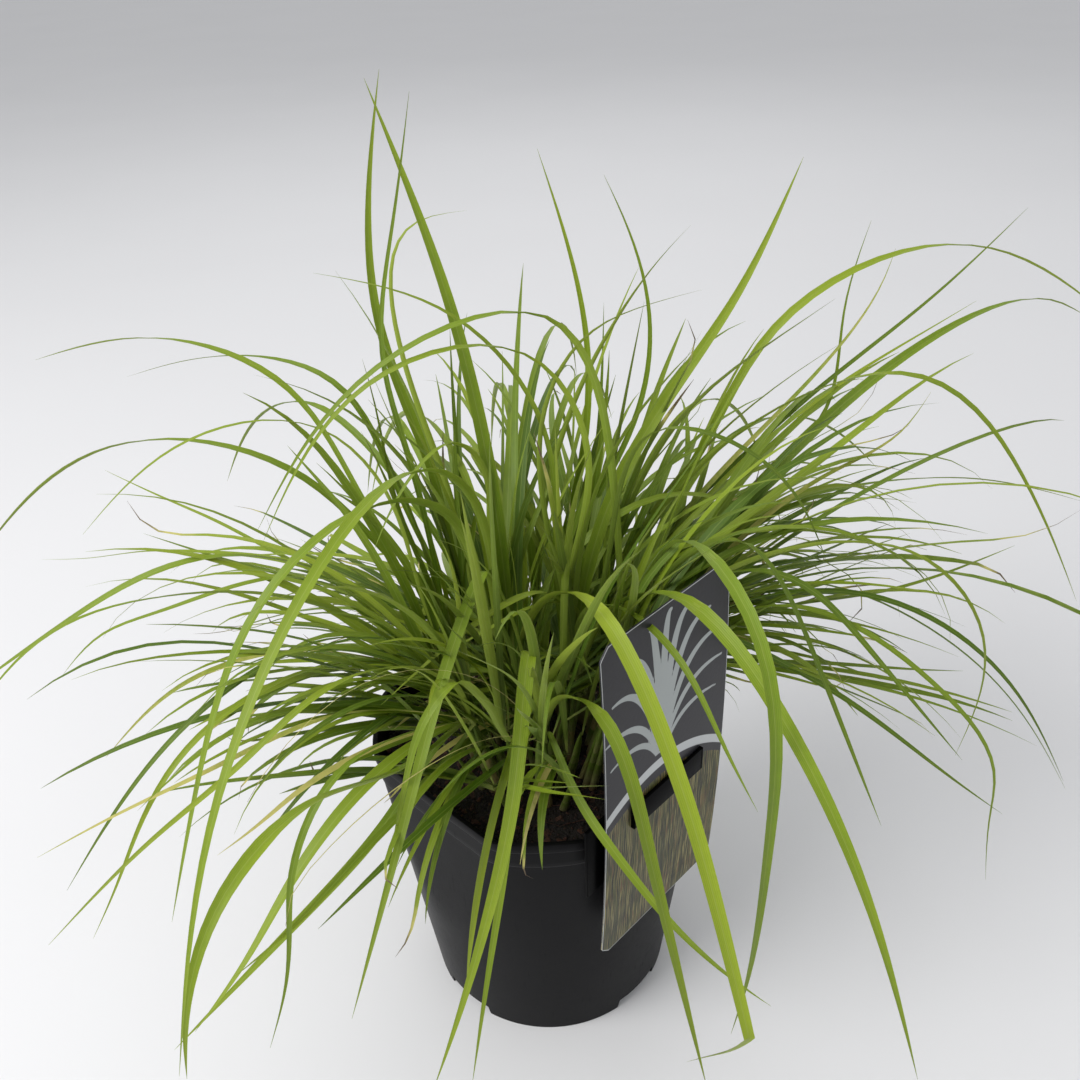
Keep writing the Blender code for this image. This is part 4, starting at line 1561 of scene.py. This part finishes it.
@dataclass
class LabelClip:
    """The clip: a plate behind the card that hooks over the rim, and a bar before the card."""

    left: float = -51 * MM
    right: float = 40 * MM
    bottom: float = 134 * MM
    hook: float = 12 * MM
    tongue_left: float = -27 * MM
    tongue_right: float = 22 * MM
    tongue_bottom: float = 161 * MM
    tongue_height: float = 13 * MM
    round_edge: float = 0.35 * MM
    crease: float = 30

    def spans(self) -> list[tuple]:
        """The clip's plates.

        Returns:
            Each plate's spans along the rim, out from the pot, and in height.
        """
        top = self.tongue_bottom + self.tongue_height
        bridge = (POT_HEIGHT + GAP, POT_HEIGHT + GAP + CLIP_PLATE)
        inner = -(WALL + LIP_STEP + GAP)
        bar = GAP + CLIP_PLATE + 2 * GAP + LABEL_BOW + LABEL_THICKNESS
        wide = (self.tongue_left, self.tongue_right)
        plates = [
            ((self.left, self.right), (GAP, GAP + CLIP_PLATE), (self.bottom, top)),
            (wide, (inner - CLIP_PLATE, GAP + CLIP_PLATE), bridge),
            (wide, (inner - CLIP_PLATE, inner), (POT_HEIGHT - self.hook, bridge[1])),
            (wide, (bar, bar + CLIP_PLATE), (self.tongue_bottom, top)),
        ]
        for start in (self.tongue_left, self.tongue_right - CLIP_PLATE):
            end = (start, start + CLIP_PLATE)
            plates.append((end, (GAP, bar + CLIP_PLATE), (self.tongue_bottom, top)))
        return plates

    def plate(self, span: tuple) -> bmesh.types.BMesh:
        """One plate with rounded edges.

        Args:
            span: Its spans along the rim, out from the pot, and in height.

        Returns:
            Its mesh, in place.
        """
        start, along, out = rim_frame()
        made = bmesh.new()
        bmesh.ops.create_cube(made, size=1)
        for vert in made.verts:
            shares = zip(span, vert.co)
            t, o, z = (low + (high - low) * (share + 0.5) for (low, high), share in shares)
            vert.co = start + along * t + out * o + np.array((0, 0, z))
        made.normal_update()
        bmesh.ops.recalc_face_normals(made, faces=made.faces)
        rounding = {"offset": self.round_edge, "segments": 3, "profile": 0.5, "affect": "EDGES"}
        bmesh.ops.bevel(made, geom=made.edges[:], **rounding)
        return made

    def build(self, shop: Workshop) -> None:
        """Builds the clip from its plates.

        Args:
            shop: The finishes.
        """
        whole = bmesh.new()
        for span in self.spans():
            plate = self.plate(span)
            part = to_mesh("plate", plate, shop.finishes["clip_plastic"])
            whole.from_mesh(part)
            bpy.data.meshes.remove(part)
        data = to_mesh("label_holder", whole, shop.finishes["clip_plastic"])
        settle(stand("label_holder", data, self.crease), "clip_plastic", "label_clip")


@dataclass
class PlantLabel:
    """The card: a little bowed, corners cut, with a plain grass ornament over a meadow of streaks.

    The ornament's and the band's sizes are in mm, along the card and over the floor.
    """

    TIPS = (
        *((-40, 204, 1.2), (-43, 218, 1.4), (-38, 236, 1.6), (-27, 250, 1.7), (-14, 259, 1.8)),
        *((0, 262, 1.8), (14, 258, 1.8), (26, 249, 1.7), (33, 235, 1.6), (35, 219, 1.4)),
        (31, 204, 1.2),
    )
    BLANK = {"ornament": 20.0, "band": 40.0, "border": 5.0}  # marks of the plain back

    step: float = 0.9 * MM
    crease: float = 40
    ornament_foot: Span = (-7.0, 192.0)
    blade_gap: float = 0.7
    thinnest: float = 0.62
    stroke_points: int = 64
    band_middle: float = -12
    band_height: float = 185.6
    band_slope: float = 0.05
    band_sag: float = 0.0085

    def strokes(self) -> list[tuple]:
        """The ornament's blades, which fan out from its foot.

        Returns:
            (foot, bend, tip, half width) of each.
        """
        x, z = self.ornament_foot
        made = []
        for number, (tip_x, tip_z, half) in enumerate(self.TIPS):
            foot = (x + (number - len(self.TIPS) / 2) * self.blade_gap, z)
            bend = (foot[0] + 0.22 * (tip_x - x), z + 0.92 * (tip_z - z) + 8)
            made.append((foot, bend, (tip_x, tip_z), half))
        return made

    def ornament(self, t: np.ndarray, z: np.ndarray) -> np.ndarray:
        """Distance in mm to the nearest stroke's edge, negative inside it.

        Args:
            t: Places along the card, in mm.
            z: Heights, in mm.

        Returns:
            The distance at each place.
        """
        least = np.full(t.shape, self.BLANK["ornament"])
        for foot, bend, tip, half in self.strokes():
            for share in np.linspace(0, 1, self.stroke_points):
                weights = ((1 - share) ** 2, 2 * share * (1 - share), share**2)
                at = [sum(w * k for w, k in zip(weights, knots)) for knots in zip(foot, bend, tip)]
                thick = max(half * (0.4 + 0.8 * math.sin(math.pi * share**0.8)), self.thinnest)
                least = np.minimum(least, np.hypot(t - at[0], z - at[1]) - thick)
        return least

    def band(self, t: np.ndarray, z: np.ndarray) -> np.ndarray:
        """Height in mm over the middle of the band that arches across the card."""
        beside = t - self.band_middle
        return z - (self.band_height + self.band_slope * beside - self.band_sag * beside**2)

    @staticmethod
    def faces(rows: int, cols: int) -> list[tuple[int, int, int, int]]:
        """The faces of a front and a back grid and of the edge that joins them.

        Args:
            rows: How many rows of points a grid has.
            cols: How many points a row has.

        Returns:
            The faces, with the back's points numbered after the front's.
        """
        count = rows * cols
        made = []
        for i in range(rows - 1):
            for j in range(cols - 1):
                a, b = i * cols + j, (i + 1) * cols + j
                made.append((a, a + 1, b + 1, b))
                made.append((count + a, count + b, count + b + 1, count + a + 1))
        rim = list(range(cols)) + [i * cols + cols - 1 for i in range(1, rows)]
        rim += [(rows - 1) * cols + j for j in range(cols - 2, -1, -1)]
        rim += [i * cols for i in range(rows - 2, 0, -1)]
        return made + [(a, count + a, count + b, b) for a, b in zip(rim, rim[1:] + rim[:1])]

    def build(self, shop: Workshop) -> None:
        """Builds the card as a front and a back grid, with the marks as numbers on its points.

        Args:
            shop: The finishes.
        """
        start, along, out = rim_frame()
        inner = GAP + CLIP_PLATE + GAP
        span = LABEL_TOP - LABEL_BOTTOM
        across = np.linspace(-1, 1, round(LABEL_WIDTH / self.step) + 1)
        levels = np.linspace(0, 1, round(span / self.step) + 1)
        near = np.minimum(levels, 1 - levels) * span
        half = LABEL_WIDTH / 2 - np.clip(LABEL_CORNER - near, 0, None)
        t = LABEL_SHIFT + np.outer(half, across)
        z = LABEL_BOTTOM + np.outer(span * levels, np.ones_like(across))
        bow = np.outer(inner + LABEL_BOW * (1 - (2 * levels - 1) ** 2), np.ones_like(across))
        layers = []
        for depth in (LABEL_THICKNESS, 0.0):
            points = start + t[..., None] * along + (bow + depth)[..., None] * out
            points[..., 2] = z
            layers.append(points.reshape(-1, 3))
        data = bpy.data.meshes.new("label_card")
        data.from_pydata(np.concatenate(layers).tolist(), [], self.faces(*t.shape))
        side = LABEL_WIDTH / 2 - np.abs(t - LABEL_SHIFT)
        end = np.minimum(z - LABEL_BOTTOM, LABEL_TOP - z)
        border = np.minimum(np.minimum(side, end), (side + end - LABEL_CORNER) / math.sqrt(2)) / MM
        marks = {
            "ornament": self.ornament(t / MM, z / MM),
            "band": self.band(t / MM, z / MM),
            "border": border,
        }
        for key, values in marks.items():
            stored = data.attributes.new(key, "FLOAT", "POINT")
            both = np.concatenate((values.ravel(), np.full(t.size, self.BLANK[key])))
            stored.data.foreach_set("value", both.astype(np.float32))
        layer = data.uv_layers.new(name="card")
        flat = np.tile(np.stack((t / MM, z / MM), axis=-1).reshape(-1, 2), (2, 1))
        corners = np.empty(len(data.loops), np.int32)
        data.loops.foreach_get("vertex_index", corners)
        layer.data.foreach_set("uv", flat[corners].astype(np.float32).ravel())
        data.materials.append(shop.finishes["label_card"])
        settle(stand("label_printed", data, self.crease), "label_card", "label")


class Tiller(NamedTuple):
    """One shoot: its foot, its mouth and the way it leans."""

    foot: np.ndarray
    mouth: np.ndarray
    out: np.ndarray
    foot_half: float
    mouth_half: float


@dataclass
class Tillers:
    """The shoots: rolls of leaf sheaths, three for each in the source and smaller ones between."""

    SHEATHS = ((0.0, 0.55, 1.0), (0.1, 0.8, 0.9), (0.3, 1.0, 0.82))  # start, end, scale
    CLOSING = np.array((1, 1, 1, 1, 0.9, 0.62, 0.12))  # how a sheath closes towards its end

    cluster: float = 2.1 * MM
    halves: Span = (0.55 * SHOOT_FOOT, 0.52 * SHOOT_MOUTH)
    more: int = 46
    tries: int = 6000
    reach: float = 37 * MM
    spacing: float = 5.2 * MM
    heights: Span = (24, 48)  # mm
    leans: Span = (4, 20)  # degrees in the middle, and more at the reach
    small_halves: Span = (2.7 * MM, 1.9 * MM)
    crease: float = 50
    seed: int = 17

    def plan(self) -> list[Tiller]:
        """Places three shoots for each of the source's, then smaller ones spaced out between them.

        Returns:
            The shoots.
        """
        made = []
        for name in (*SHOOT_RING, *INNER_SHOOTS):
            foot, mouth, out = shoot_line(name)
            for turn in (30, 150, 270):
                aside = heading_vector(turn) * self.cluster
                made.append(Tiller(foot + aside, mouth + 0.7 * aside, out, *self.halves))
        chance = np.random.default_rng(self.seed)
        feet = [tiller.foot[:2] for tiller in made]
        wanted = len(made) + self.more
        for _ in range(self.tries):
            if len(made) == wanted:
                break
            away = self.reach * math.sqrt(chance.uniform(0, 1))
            turn = chance.uniform(0, math.tau)
            out = np.array((math.cos(turn), math.sin(turn), 0.0))
            foot = np.array((*CROWN, SOIL_TOP - 1 * MM)) + out * away
            if min(np.hypot(*(foot[:2] - other)) for other in feet) < self.spacing:
                continue
            feet.append(foot[:2])
            height = chance.uniform(*self.heights) * MM
            least, more = self.leans
            lean = math.radians(least + more * away / self.reach + chance.uniform(-3, 4))
            mouth = foot + out * height * math.tan(lean) + np.array((0, 0, height))
            size = chance.uniform(0.75, 1.1)
            made.append(Tiller(foot, mouth, out, *(half * size for half in self.small_halves)))
        return made

    def build(self, shop: Workshop, plan: list[Tiller]) -> None:
        """Builds each shoot as sheaths that come out of one another.

        Args:
            shop: The sweep and the finishes.
            plan: The shoots.
        """
        chance = np.random.default_rng(self.seed + 1)
        strands = Strands()
        count = len(self.CLOSING)
        for tiller in plan:
            rise = tiller.mouth - tiller.foot
            side = np.cross(rise, tiller.out)
            side /= np.linalg.norm(side)
            for start, end, scale in self.SHEATHS:
                shares = np.linspace(start, end, count)
                drift = np.outer(shares**2, chance.normal(0, 0.5 * MM, 3) * (1, 1, 0))
                line = tiller.foot + np.outer(shares, rise) + drift * (scale < 0.9)
                taper = tiller.foot_half + (tiller.mouth_half - tiller.foot_half) * shares
                flare = 1 + 0.10 * np.linspace(0, 1, count) ** 4
                half = taper * scale * flare * self.CLOSING
                dry = chance.choice((0.0, 0.35, 0.8), p=(0.55, 0.25, 0.2)) * (scale > 0.85)
                strands.add(line, np.tile(side, (count, 1)), half=half, dry=dry)
        section = {"Sides": 10, "Fold": 0.0, "Thickness": 0.72, "Finish": shop.finishes["sheath"]}
        piece = shop.sweep.apply(strands.mesh("shoots"), "shoots", self.crease, **section)
        settle(piece, "sheath", *(f"shoot_{name}" for name in (*SHOOT_RING, *INNER_SHOOTS)))


class Grown(NamedTuple):
    """A leaf's shape: its middle line, its heading, half its full width and its dried share."""

    line: np.ndarray
    heading: float
    half: float
    tip: float


class Spray(NamedTuple):
    """Leaves that grow by one rule. Angles are from upright in degrees, lengths in mm."""

    name: str
    count: int
    headings: Span
    start: Span
    end: Span
    length: Span
    width: Span
    bend: float = 1.6
    dry_tips: float = 0.3
    straw: float = 0.05
    # Share of fresh greens. It is set low in the sprays of the core, which paints the core's shade.
    fresh_share_and_painted_shade: float = 0.5


@dataclass
class Surroundings:
    """What a leaf keeps clear of: the pot, the soil, the card with its clip and the box's sides."""

    low: np.ndarray
    high: np.ndarray
    margin: float = 1 * MM
    card_along: Span = (-55 * MM, 45 * MM)
    card_out: Span = (-7 * MM, 12 * MM)
    card_height: Span = (80 * MM, 269 * MM)
    wall: Span = (-4 * MM, 2.5 * MM)
    over_rim: float = 1.5 * MM
    over_soil: float = 2.5 * MM

    def clear(self, line: np.ndarray) -> bool:
        """Whether a leaf stays clear of all of them.

        Args:
            line: Its middle line, of which the first two points stand in the shoot.

        Returns:
            True where it does.
        """
        if (line < self.low + self.margin).any() or (line > self.high - self.margin).any():
            return False
        start, along, out = rim_frame()
        height = line[:, 2]
        spans = (
            ((line - start) @ along, self.card_along),
            ((line - start) @ out, self.card_out),
            (height, self.card_height),
        )
        if np.all([(at > low) & (at < high) for at, (low, high) in spans], axis=0).any():
            return False
        turn = np.arctan2(line[:, 1], line[:, 0])
        beside = np.hypot(line[:, 0], line[:, 1]) - wall_radius(height, turn)
        touched = (beside > self.wall[0]) & (beside < self.wall[1])
        touched &= height < POT_HEIGHT + self.over_rim
        below = np.minimum(height[1:], height[:-1]) < POT_HEIGHT
        crossed = (np.diff(np.sign(beside)) != 0) & below
        buried = (beside < 0) & (height < SOIL_TOP + self.over_soil)
        return not (touched.any() or crossed.any() or buried[2:].any())


@dataclass
class GrassTuft:
    """Every leaf: the traced ones, and sprays of leaves that fill the tuft by rule."""

    GREENS = (Tone.DEEP, Tone.GREEN, Tone.FRESH)

    stations: int = 36
    spray_stations: int = 18
    fold: float = 0.34
    thickness: float = 0.055
    crease: float = 44
    facing: float = 0.85
    facings: Span = (-0.4, 1.0)
    roll: float = 0.3
    thinnest: float = 0.12 * MM
    point: float = 0.04 * MM
    seed: int = 29
    bunch: int = 4
    tries: int = 40
    least_match: float = 0.45  # of a shoot's lean and a leaf's heading, 1 where they agree
    crown_middle: float = 14 * MM  # a shoot this near bears leaves of any heading
    first_tries: int = 12
    first_length: Span = (90, 180)  # mm
    first_half: Span = (1.3, 2.3)  # mm
    first_bend: float = 1.7
    first_greens: tuple[float, ...] = (0.35, 0.4, 0.25)
    # The last number of a row is the share of fresh greens. It is low in the crown, middle, middle_right and
    # front_base sprays as painted shade of the core.
    sprays: tuple[Spray, ...] = (
        Spray("crown", 24, (0, 360), (0, 14), (10, 60), (100, 190), (2.4, 4.6), 1.8, 0.15, 0.0, 0.25),
        Spray("middle", 16, (0, 360), (0, 6), (0, 20), (95, 170), (2.4, 4.4), 1.4, 0.15, 0.0, 0.25),
        Spray("middle_right", 20, (40, 130), (0, 10), (5, 40), (120, 200), (2.4, 4.6), 1.4, 0.15, 0.0, 0.3),
        Spray("left_high", 20, (250, 300), (26, 46), (90, 150), (160, 250), (2.4, 4.4), 1.4, 0.2, 0.0, 0.6),
        Spray("left_low", 30, (232, 288), (42, 68), (92, 150), (100, 190), (3.0, 5.4), 1.3, 0.4, 0.06, 0.6),
        Spray("left_skirt", 30, (238, 290), (60, 82), (84, 120), (70, 145), (3.0, 5.6), 1.0, 0.5, 0.12, 0.45),
        Spray("right_high", 24, (55, 110), (18, 42), (90, 160), (160, 270), (2.4, 4.4), 1.5, 0.2, 0.0, 0.6),
        Spray("right_low", 36, (58, 110), (34, 66), (100, 165), (150, 250), (2.6, 4.8), 1.3, 0.4, 0.04, 0.6),
        Spray("right_skirt", 22, (68, 106), (54, 76), (88, 125), (110, 200), (2.4, 4.8), 1.0, 0.5, 0.06, 0.5),
        Spray("right_drop", 16, (88, 118), (62, 84), (100, 135), (130, 220), (2.2, 4.0), 0.9, 0.5, 0.05),
        Spray("back_high", 36, (302, 418), (8, 36), (80, 150), (160, 280), (2.4, 4.8), 1.4, 0.2, 0.0),
        Spray("back_low", 50, (295, 425), (40, 80), (95, 155), (110, 230), (2.4, 5.0), 1.2, 0.4, 0.05),
        Spray("front_base", 26, (150, 262), (4, 46), (40, 125), (60, 140), (2.4, 4.8), 1.2, 0.1, 0.0, 0.2),
        Spray("front_left", 10, (205, 245), (40, 70), (110, 150), (60, 140), (2.4, 4.6), 1.0, 0.5, 0.1),
    )
    threads: Spray = Spray(
        "threads", 30, (215, 450), (20, 75), (80, 170), (80, 210), (0.45, 0.9), 1.2, 1.0, 0.5
    )

    def add_leaf(self, strands: Strands, leaf: Leaf, offset: np.ndarray, chance: Chance) -> None:
        """Adds one traced leaf to the strands.

        Args:
            strands: Where it goes.
            leaf: The leaf.
            offset: Where its root stands in the mouth.
            chance: Source of its small differences.
        """
        shares = np.linspace(0, 1, self.stations)
        line = leaf_line(leaf, shares, offset)
        half = 0.5 * leaf.width * MM
        if leaf is SOLID_LEAVES[KINKED_LEAF - 1]:
            mouth = shoot_line(leaf.shoot)[1]
            way = heading_vector(leaf.heading)
            past = [
                mouth + way * reach * MM + np.array((0, 0, high * MM - mouth[2]))
                for reach, high in KINKED_TIP
            ]
            bent = spline(np.array((line[-1], *past)), np.linspace(0.06, 1, KINKED_STATIONS))
            line = np.concatenate((line, bent))
        self.lay(strands, Grown(line, leaf.heading, half, 0.0), self.facing, leaf.tone, chance)

    def lay(
        self, strands: Strands, leaf: Grown, facing: float, tone: Tone, chance: Chance
    ) -> None:
        """Adds a leaf's line with its width, turn and colour.

        Args:
            strands: Where it goes.
            leaf: The leaf.
            facing: Share of the way that its steep parts turn their flat side to the front or back.
            tone: Its colour.
            chance: Source of its small differences.
        """
        shares = np.linspace(0, 1, len(leaf.line))
        flow = np.gradient(leaf.line, axis=0)
        flow /= np.linalg.norm(flow, axis=1)[:, None]
        across = heading_vector(leaf.heading - 90)
        side = across - flow * (flow @ across)[:, None]
        side /= np.linalg.norm(side, axis=1)[:, None]
        upper = np.cross(flow, side)
        twist = facing * np.abs(flow[:, 2]) ** 0.8 * turn_to_front(flow, side, upper)
        roll = self.roll * chance.normal()
        twist += roll * np.sin(shares * chance.uniform(2, 6) + chance.uniform(0, math.tau))
        side = side * np.cos(twist)[:, None] + upper * np.sin(twist)[:, None]
        green, dry = tone.value
        # Random tint for each leaf. It is darker towards the root as painted shade of the crown, and darker
        # where the leaf hangs down as painted shade.
        shade = green + chance.normal(0, 0.12) - 0.45 * (1 - shares) ** 2.5
        shade -= 0.2 * np.clip(-flow[:, 2], 0, 1)
        dryness = dry + chance.uniform(0, 0.05)
        dryness = dryness + 0.12 * dry * np.sin(shares * 9 + chance.uniform(0, 6))
        if leaf.tip:
            dried = np.clip((shares - 1 + 1.6 * leaf.tip) / leaf.tip, 0, 1)
            dryness = np.maximum(dryness, dried)
        width = np.maximum(leaf.half * fullness(shares), self.thinnest)
        width[-1] = self.point
        strands.add(leaf.line, side, half=width, shade=shade, dry=dryness)

    def grow(
        self, spray: Spray, plan: list[Tiller], near: Surroundings, chance: Chance
    ) -> list[Grown]:
        """Grows a spray's leaves in bunches, each from one shoot's mouth.

        Args:
            spray: The rule.
            plan: The shoots.
            near: What the leaves keep clear of.
            chance: Source of every choice.

        Returns:
            The leaves.
        """
        made: list[Grown] = []
        tries = 0
        while len(made) < spray.count and tries < self.tries * spray.count:
            if tries % self.bunch == 0:
                ranges = (spray.headings, spray.start, spray.end, spray.length)
                middle = [chance.uniform(*ends) for ends in ranges]
                way = heading_vector(middle[0])
                fits = [
                    tiller
                    for tiller in plan
                    if tiller.out @ way > self.least_match
                    or np.hypot(*(tiller.foot[:2] - CROWN)) < self.crown_middle
                ]
                tiller = fits[chance.integers(len(fits))]
            tries += 1
            heading = middle[0] + chance.normal(0, 6)
            start = middle[1] + chance.normal(0, 5)
            end = middle[2] + chance.normal(0, 14)
            length = middle[3] * chance.uniform(0.65, 1.15) * MM
            tip = chance.uniform(0.04, 0.16) if chance.uniform() < spray.dry_tips else 0.0
            line = self.arch(tiller.mouth, heading, start, end, length, spray.bend, tip, chance)
            if near.clear(line):
                made.append(Grown(line, heading, 0.5 * chance.uniform(*spray.width) * MM, tip))
        LOG.info("spray %s: %d leaves in %d tries", spray.name, len(made), tries)
        return made

    def grow_first(self, plan: list[Tiller], near: Surroundings, chance: Chance) -> list[Grown]:
        """Grows one leaf out of every shoot's mouth, the way the shoot leans.

        Args:
            plan: The shoots.
            near: What the leaves keep clear of.
            chance: Source of every choice.

        Returns:
            The leaves.
        """
        made: list[Grown] = []
        for tiller in plan:
            rise = tiller.mouth - tiller.foot
            lean = math.degrees(math.atan2(math.hypot(rise[0], rise[1]), rise[2]))
            toward = math.degrees(math.atan2(rise[0], rise[1]))
            for _ in range(self.first_tries):
                heading = toward + chance.normal(0, 30)
                length = chance.uniform(*self.first_length) * MM
                end = lean + chance.uniform(20, 95)
                start = lean + chance.normal(0, 6)
                bend = self.first_bend
                line = self.arch(tiller.mouth, heading, start, end, length, bend, 0.0, chance)
                if near.clear(line):
                    half = chance.uniform(*self.first_half) * MM
                    made.append(Grown(line, heading, half, 0.0))
                    break
        LOG.info("first leaves: %d of %d shoots", len(made), len(plan))
        return made

    def arch(
        self,
        mouth: np.ndarray,
        heading: float,
        start: float,
        end: float,
        length: float,
        bend: float,
        tip: float,
        chance: Chance,
    ) -> np.ndarray:
        """The middle line of one arching leaf.

        Args:
            mouth: Where its shoot ends.
            heading: The way it leans.
            start: Its lean at the root, in degrees from upright.
            end: Its lean at the tip.
            length: Its length.
            bend: How late the lean changes; 1 is even.
            tip: The dried share, which curls.
            chance: Source of its waver.

        Returns:
            Its points.
        """
        shares = np.linspace(0, 1, self.spray_stations)
        lean = start + (end - start) * shares ** (bend * chance.uniform(0.75, 1.35))
        waver = 5 * chance.normal()
        lean += waver * np.sin(shares * chance.uniform(5, 11) + chance.uniform(0, 6)) * shares
        turn = heading + chance.normal(0, 20) * shares**1.5
        if tip:
            curled = np.clip((shares - 1 + 1.3 * tip) / (1.3 * tip), 0, 1)
            lean += chance.normal(0, 50) * curled
            turn += chance.normal(0, 50) * curled
        lean, turn = np.radians(lean), np.radians(turn)
        level = np.sin(lean)
        moves = np.stack((level * np.sin(turn), level * np.cos(turn), np.cos(lean)), axis=1)
        root = mouth + np.append(chance.normal(0, 0.7 * MM, 2), -2 * MM)
        ways = np.cumsum(0.5 * (moves[1:] + moves[:-1]), axis=0)
        return root + np.concatenate((np.zeros((1, 3)), ways)) * length / (len(shares) - 1)

    def sprout(
        self, strands: Strands, spray: Spray, plan: list[Tiller], near: Surroundings, chance: Chance
    ) -> None:
        """Grows a spray and adds its leaves to the strands.

        Args:
            strands: Where they go.
            spray: The rule.
            plan: The shoots.
            near: What the leaves keep clear of.
            chance: Source of every choice.
        """
        # Fewer fresh greens in the core's sprays are painted shade.
        darker_share = 1 - spray.fresh_share_and_painted_shade
        shares = (0.45 * darker_share, 0.55 * darker_share, spray.fresh_share_and_painted_shade)
        for leaf in self.grow(spray, plan, near, chance):
            straw = chance.uniform() < spray.straw
            green = chance.choice(self.GREENS, p=shares)
            facing = chance.uniform(*self.facings)
            self.lay(strands, leaf, facing, Tone.STRAW if straw else green, chance)

    def build(self, shop: Workshop, plan: list[Tiller], near: Surroundings) -> None:
        """Builds the traced leaves, the sprays and the dry threads as three pieces.

        Args:
            shop: The sweep and the finishes.
            plan: The shoots.
            near: What the grown leaves keep clear of.
        """
        chance = np.random.default_rng(self.seed)
        traced, filling, dry = Strands(), Strands(), Strands()
        for leaf in SOLID_LEAVES:
            self.add_leaf(traced, leaf, root_offset(leaf), chance)
        for leaf in MORE_LEAVES:
            self.add_leaf(traced, leaf, np.append(chance.normal(0, 1.1 * MM, 2), 0.0), chance)
        for leaf in self.grow_first(plan, near, chance):
            tone = chance.choice(self.GREENS, p=self.first_greens)
            self.lay(filling, leaf, chance.uniform(*self.facings), tone, chance)
        for spray in self.sprays:
            self.sprout(filling, spray, plan, near, chance)
        self.sprout(dry, self.threads, plan, near, chance)
        blade = shop.finishes["blade"]
        section = {"Fold": self.fold, "Thickness": self.thickness, "Finish": blade}
        pieces = [
            shop.sweep.apply(
                strands.mesh(f"{name}_lines"), name, self.crease, Sides=sides, **section
            )
            for strands, name, sides in (
                (traced, "leaves_traced", 8),
                (filling, "leaves_filling", 4),
                (dry, "leaves_thin", 4),
            )
        ]
        numbers = range(1, len(SOLID_LEAVES) + 1)
        settle(pieces[0], "blade", *(f"leaf_{number:02d}" for number in numbers))
        for piece in pieces[1:]:
            settle(piece, "blade")


@dataclass
class Studio:
    """Pale floor, soft light and the camera at the photograph's place."""

    pitch: float = 32.92
    yaw: float = 0.37
    roll: float = -2.40
    place: tuple[float, float, float] = (0.00067, -0.39003, 0.51478)
    lens: float = 35.343
    target: tuple[float, float, float] = (0, 0, 0.2)
    floor: tuple[float, float, float, float] = (-14, 14, -10, 24)
    surround: tuple[float, float, float, float] = (0.97, 0.98, 1.0, 1)
    surround_strength: float = 0.60

    def set_camera(self) -> None:
        """Places the camera."""
        down, right = math.radians(self.pitch), math.radians(self.yaw)
        flat = math.cos(down)
        ahead = Vector((math.sin(right) * flat, math.cos(right) * flat, -math.sin(down)))
        level = Vector((math.cos(right), -math.sin(right), 0.0))
        upright = level.cross(ahead)
        turn = math.radians(self.roll)
        side = level * math.cos(turn) + upright * math.sin(turn)
        up = upright * math.cos(turn) - level * math.sin(turn)
        data = bpy.data.cameras.new("camera")
        data.sensor_width = 36.0
        data.lens = self.lens
        data.clip_start = 0.01
        camera = bpy.data.objects.new("camera", data)
        rotation = Matrix((side, up, -ahead)).transposed().to_4x4()
        camera.matrix_world = Matrix.Translation(self.place) @ rotation
        bpy.context.scene.collection.objects.link(camera)
        bpy.context.scene.camera = camera

    def set_lights(self) -> None:
        """Hangs three large soft lights and sets the pale surround."""
        lamps = (
            ("key", (-1.35, -0.75, 1.45), 1.3, 33.0, (1.0, 0.99, 0.98)),
            ("fill", (1.5, -1.2, 1.5), 1.8, 3.0, (0.98, 0.99, 1.0)),
            ("back", (0.2, 1.6, 1.7), 1.8, 7.0, (1.0, 1.0, 1.0)),
        )
        for name, place, size, power, colour in lamps:
            data = bpy.data.lights.new(name, "AREA")
            data.shape = "DISK"
            data.size = size
            data.energy = power
            data.color = colour
            lamp = bpy.data.objects.new(name, data)
            lamp.location = place
            aim = Vector(self.target) - Vector(place)
            lamp.rotation_euler = aim.to_track_quat("-Z", "Y").to_euler()
            bpy.context.scene.collection.objects.link(lamp)
        world = bpy.data.worlds.new("studio")
        world.use_nodes = True
        surround = world.node_tree.nodes["Background"]
        surround.inputs[0].default_value = self.surround
        surround.inputs[1].default_value = self.surround_strength
        bpy.context.scene.world = world
        bpy.context.scene.view_settings.view_transform = "Standard"

    def lay_floor(self) -> None:
        """Lays the floor."""
        data = bpy.data.meshes.new("floor")
        left, right, front, back = self.floor
        corners = [(left, front, 0), (right, front, 0), (right, back, 0), (left, back, 0)]
        data.from_pydata(corners, [], [(0, 1, 2, 3)])
        data.materials.append(FloorFinish().material())
        floor = bpy.data.objects.new("floor", data)
        bpy.context.scene.collection.objects.link(floor)
        floor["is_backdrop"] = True

    def build(self) -> None:
        """Sets up the studio."""
        self.set_camera()
        self.set_lights()
        self.lay_floor()


def as_lists(box: object) -> list[list[float]]:
    """A box's two corners as plain lists of numbers."""
    return [[float(part) for part in corner] for corner in box]


def main() -> None:
    """Builds every piece in order."""
    logging.basicConfig(level=logging.INFO, format="%(name)s %(message)s")
    for old in list(bpy.data.objects):
        bpy.data.objects.remove(old)
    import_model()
    solids = as_lists(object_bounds())
    near = Surroundings(np.array(solids[0]), np.array(solids[1]))
    Studio().build()
    shop = Workshop()
    NurseryPot().build(shop)
    RootBall().build(shop)
    LabelClip().build(shop)
    PlantLabel().build(shop)
    tillers = Tillers()
    plan = tillers.plan()
    tillers.build(shop, plan)
    GrassTuft().build(shop, plan, near)


if __name__ == "__main__":
    main()
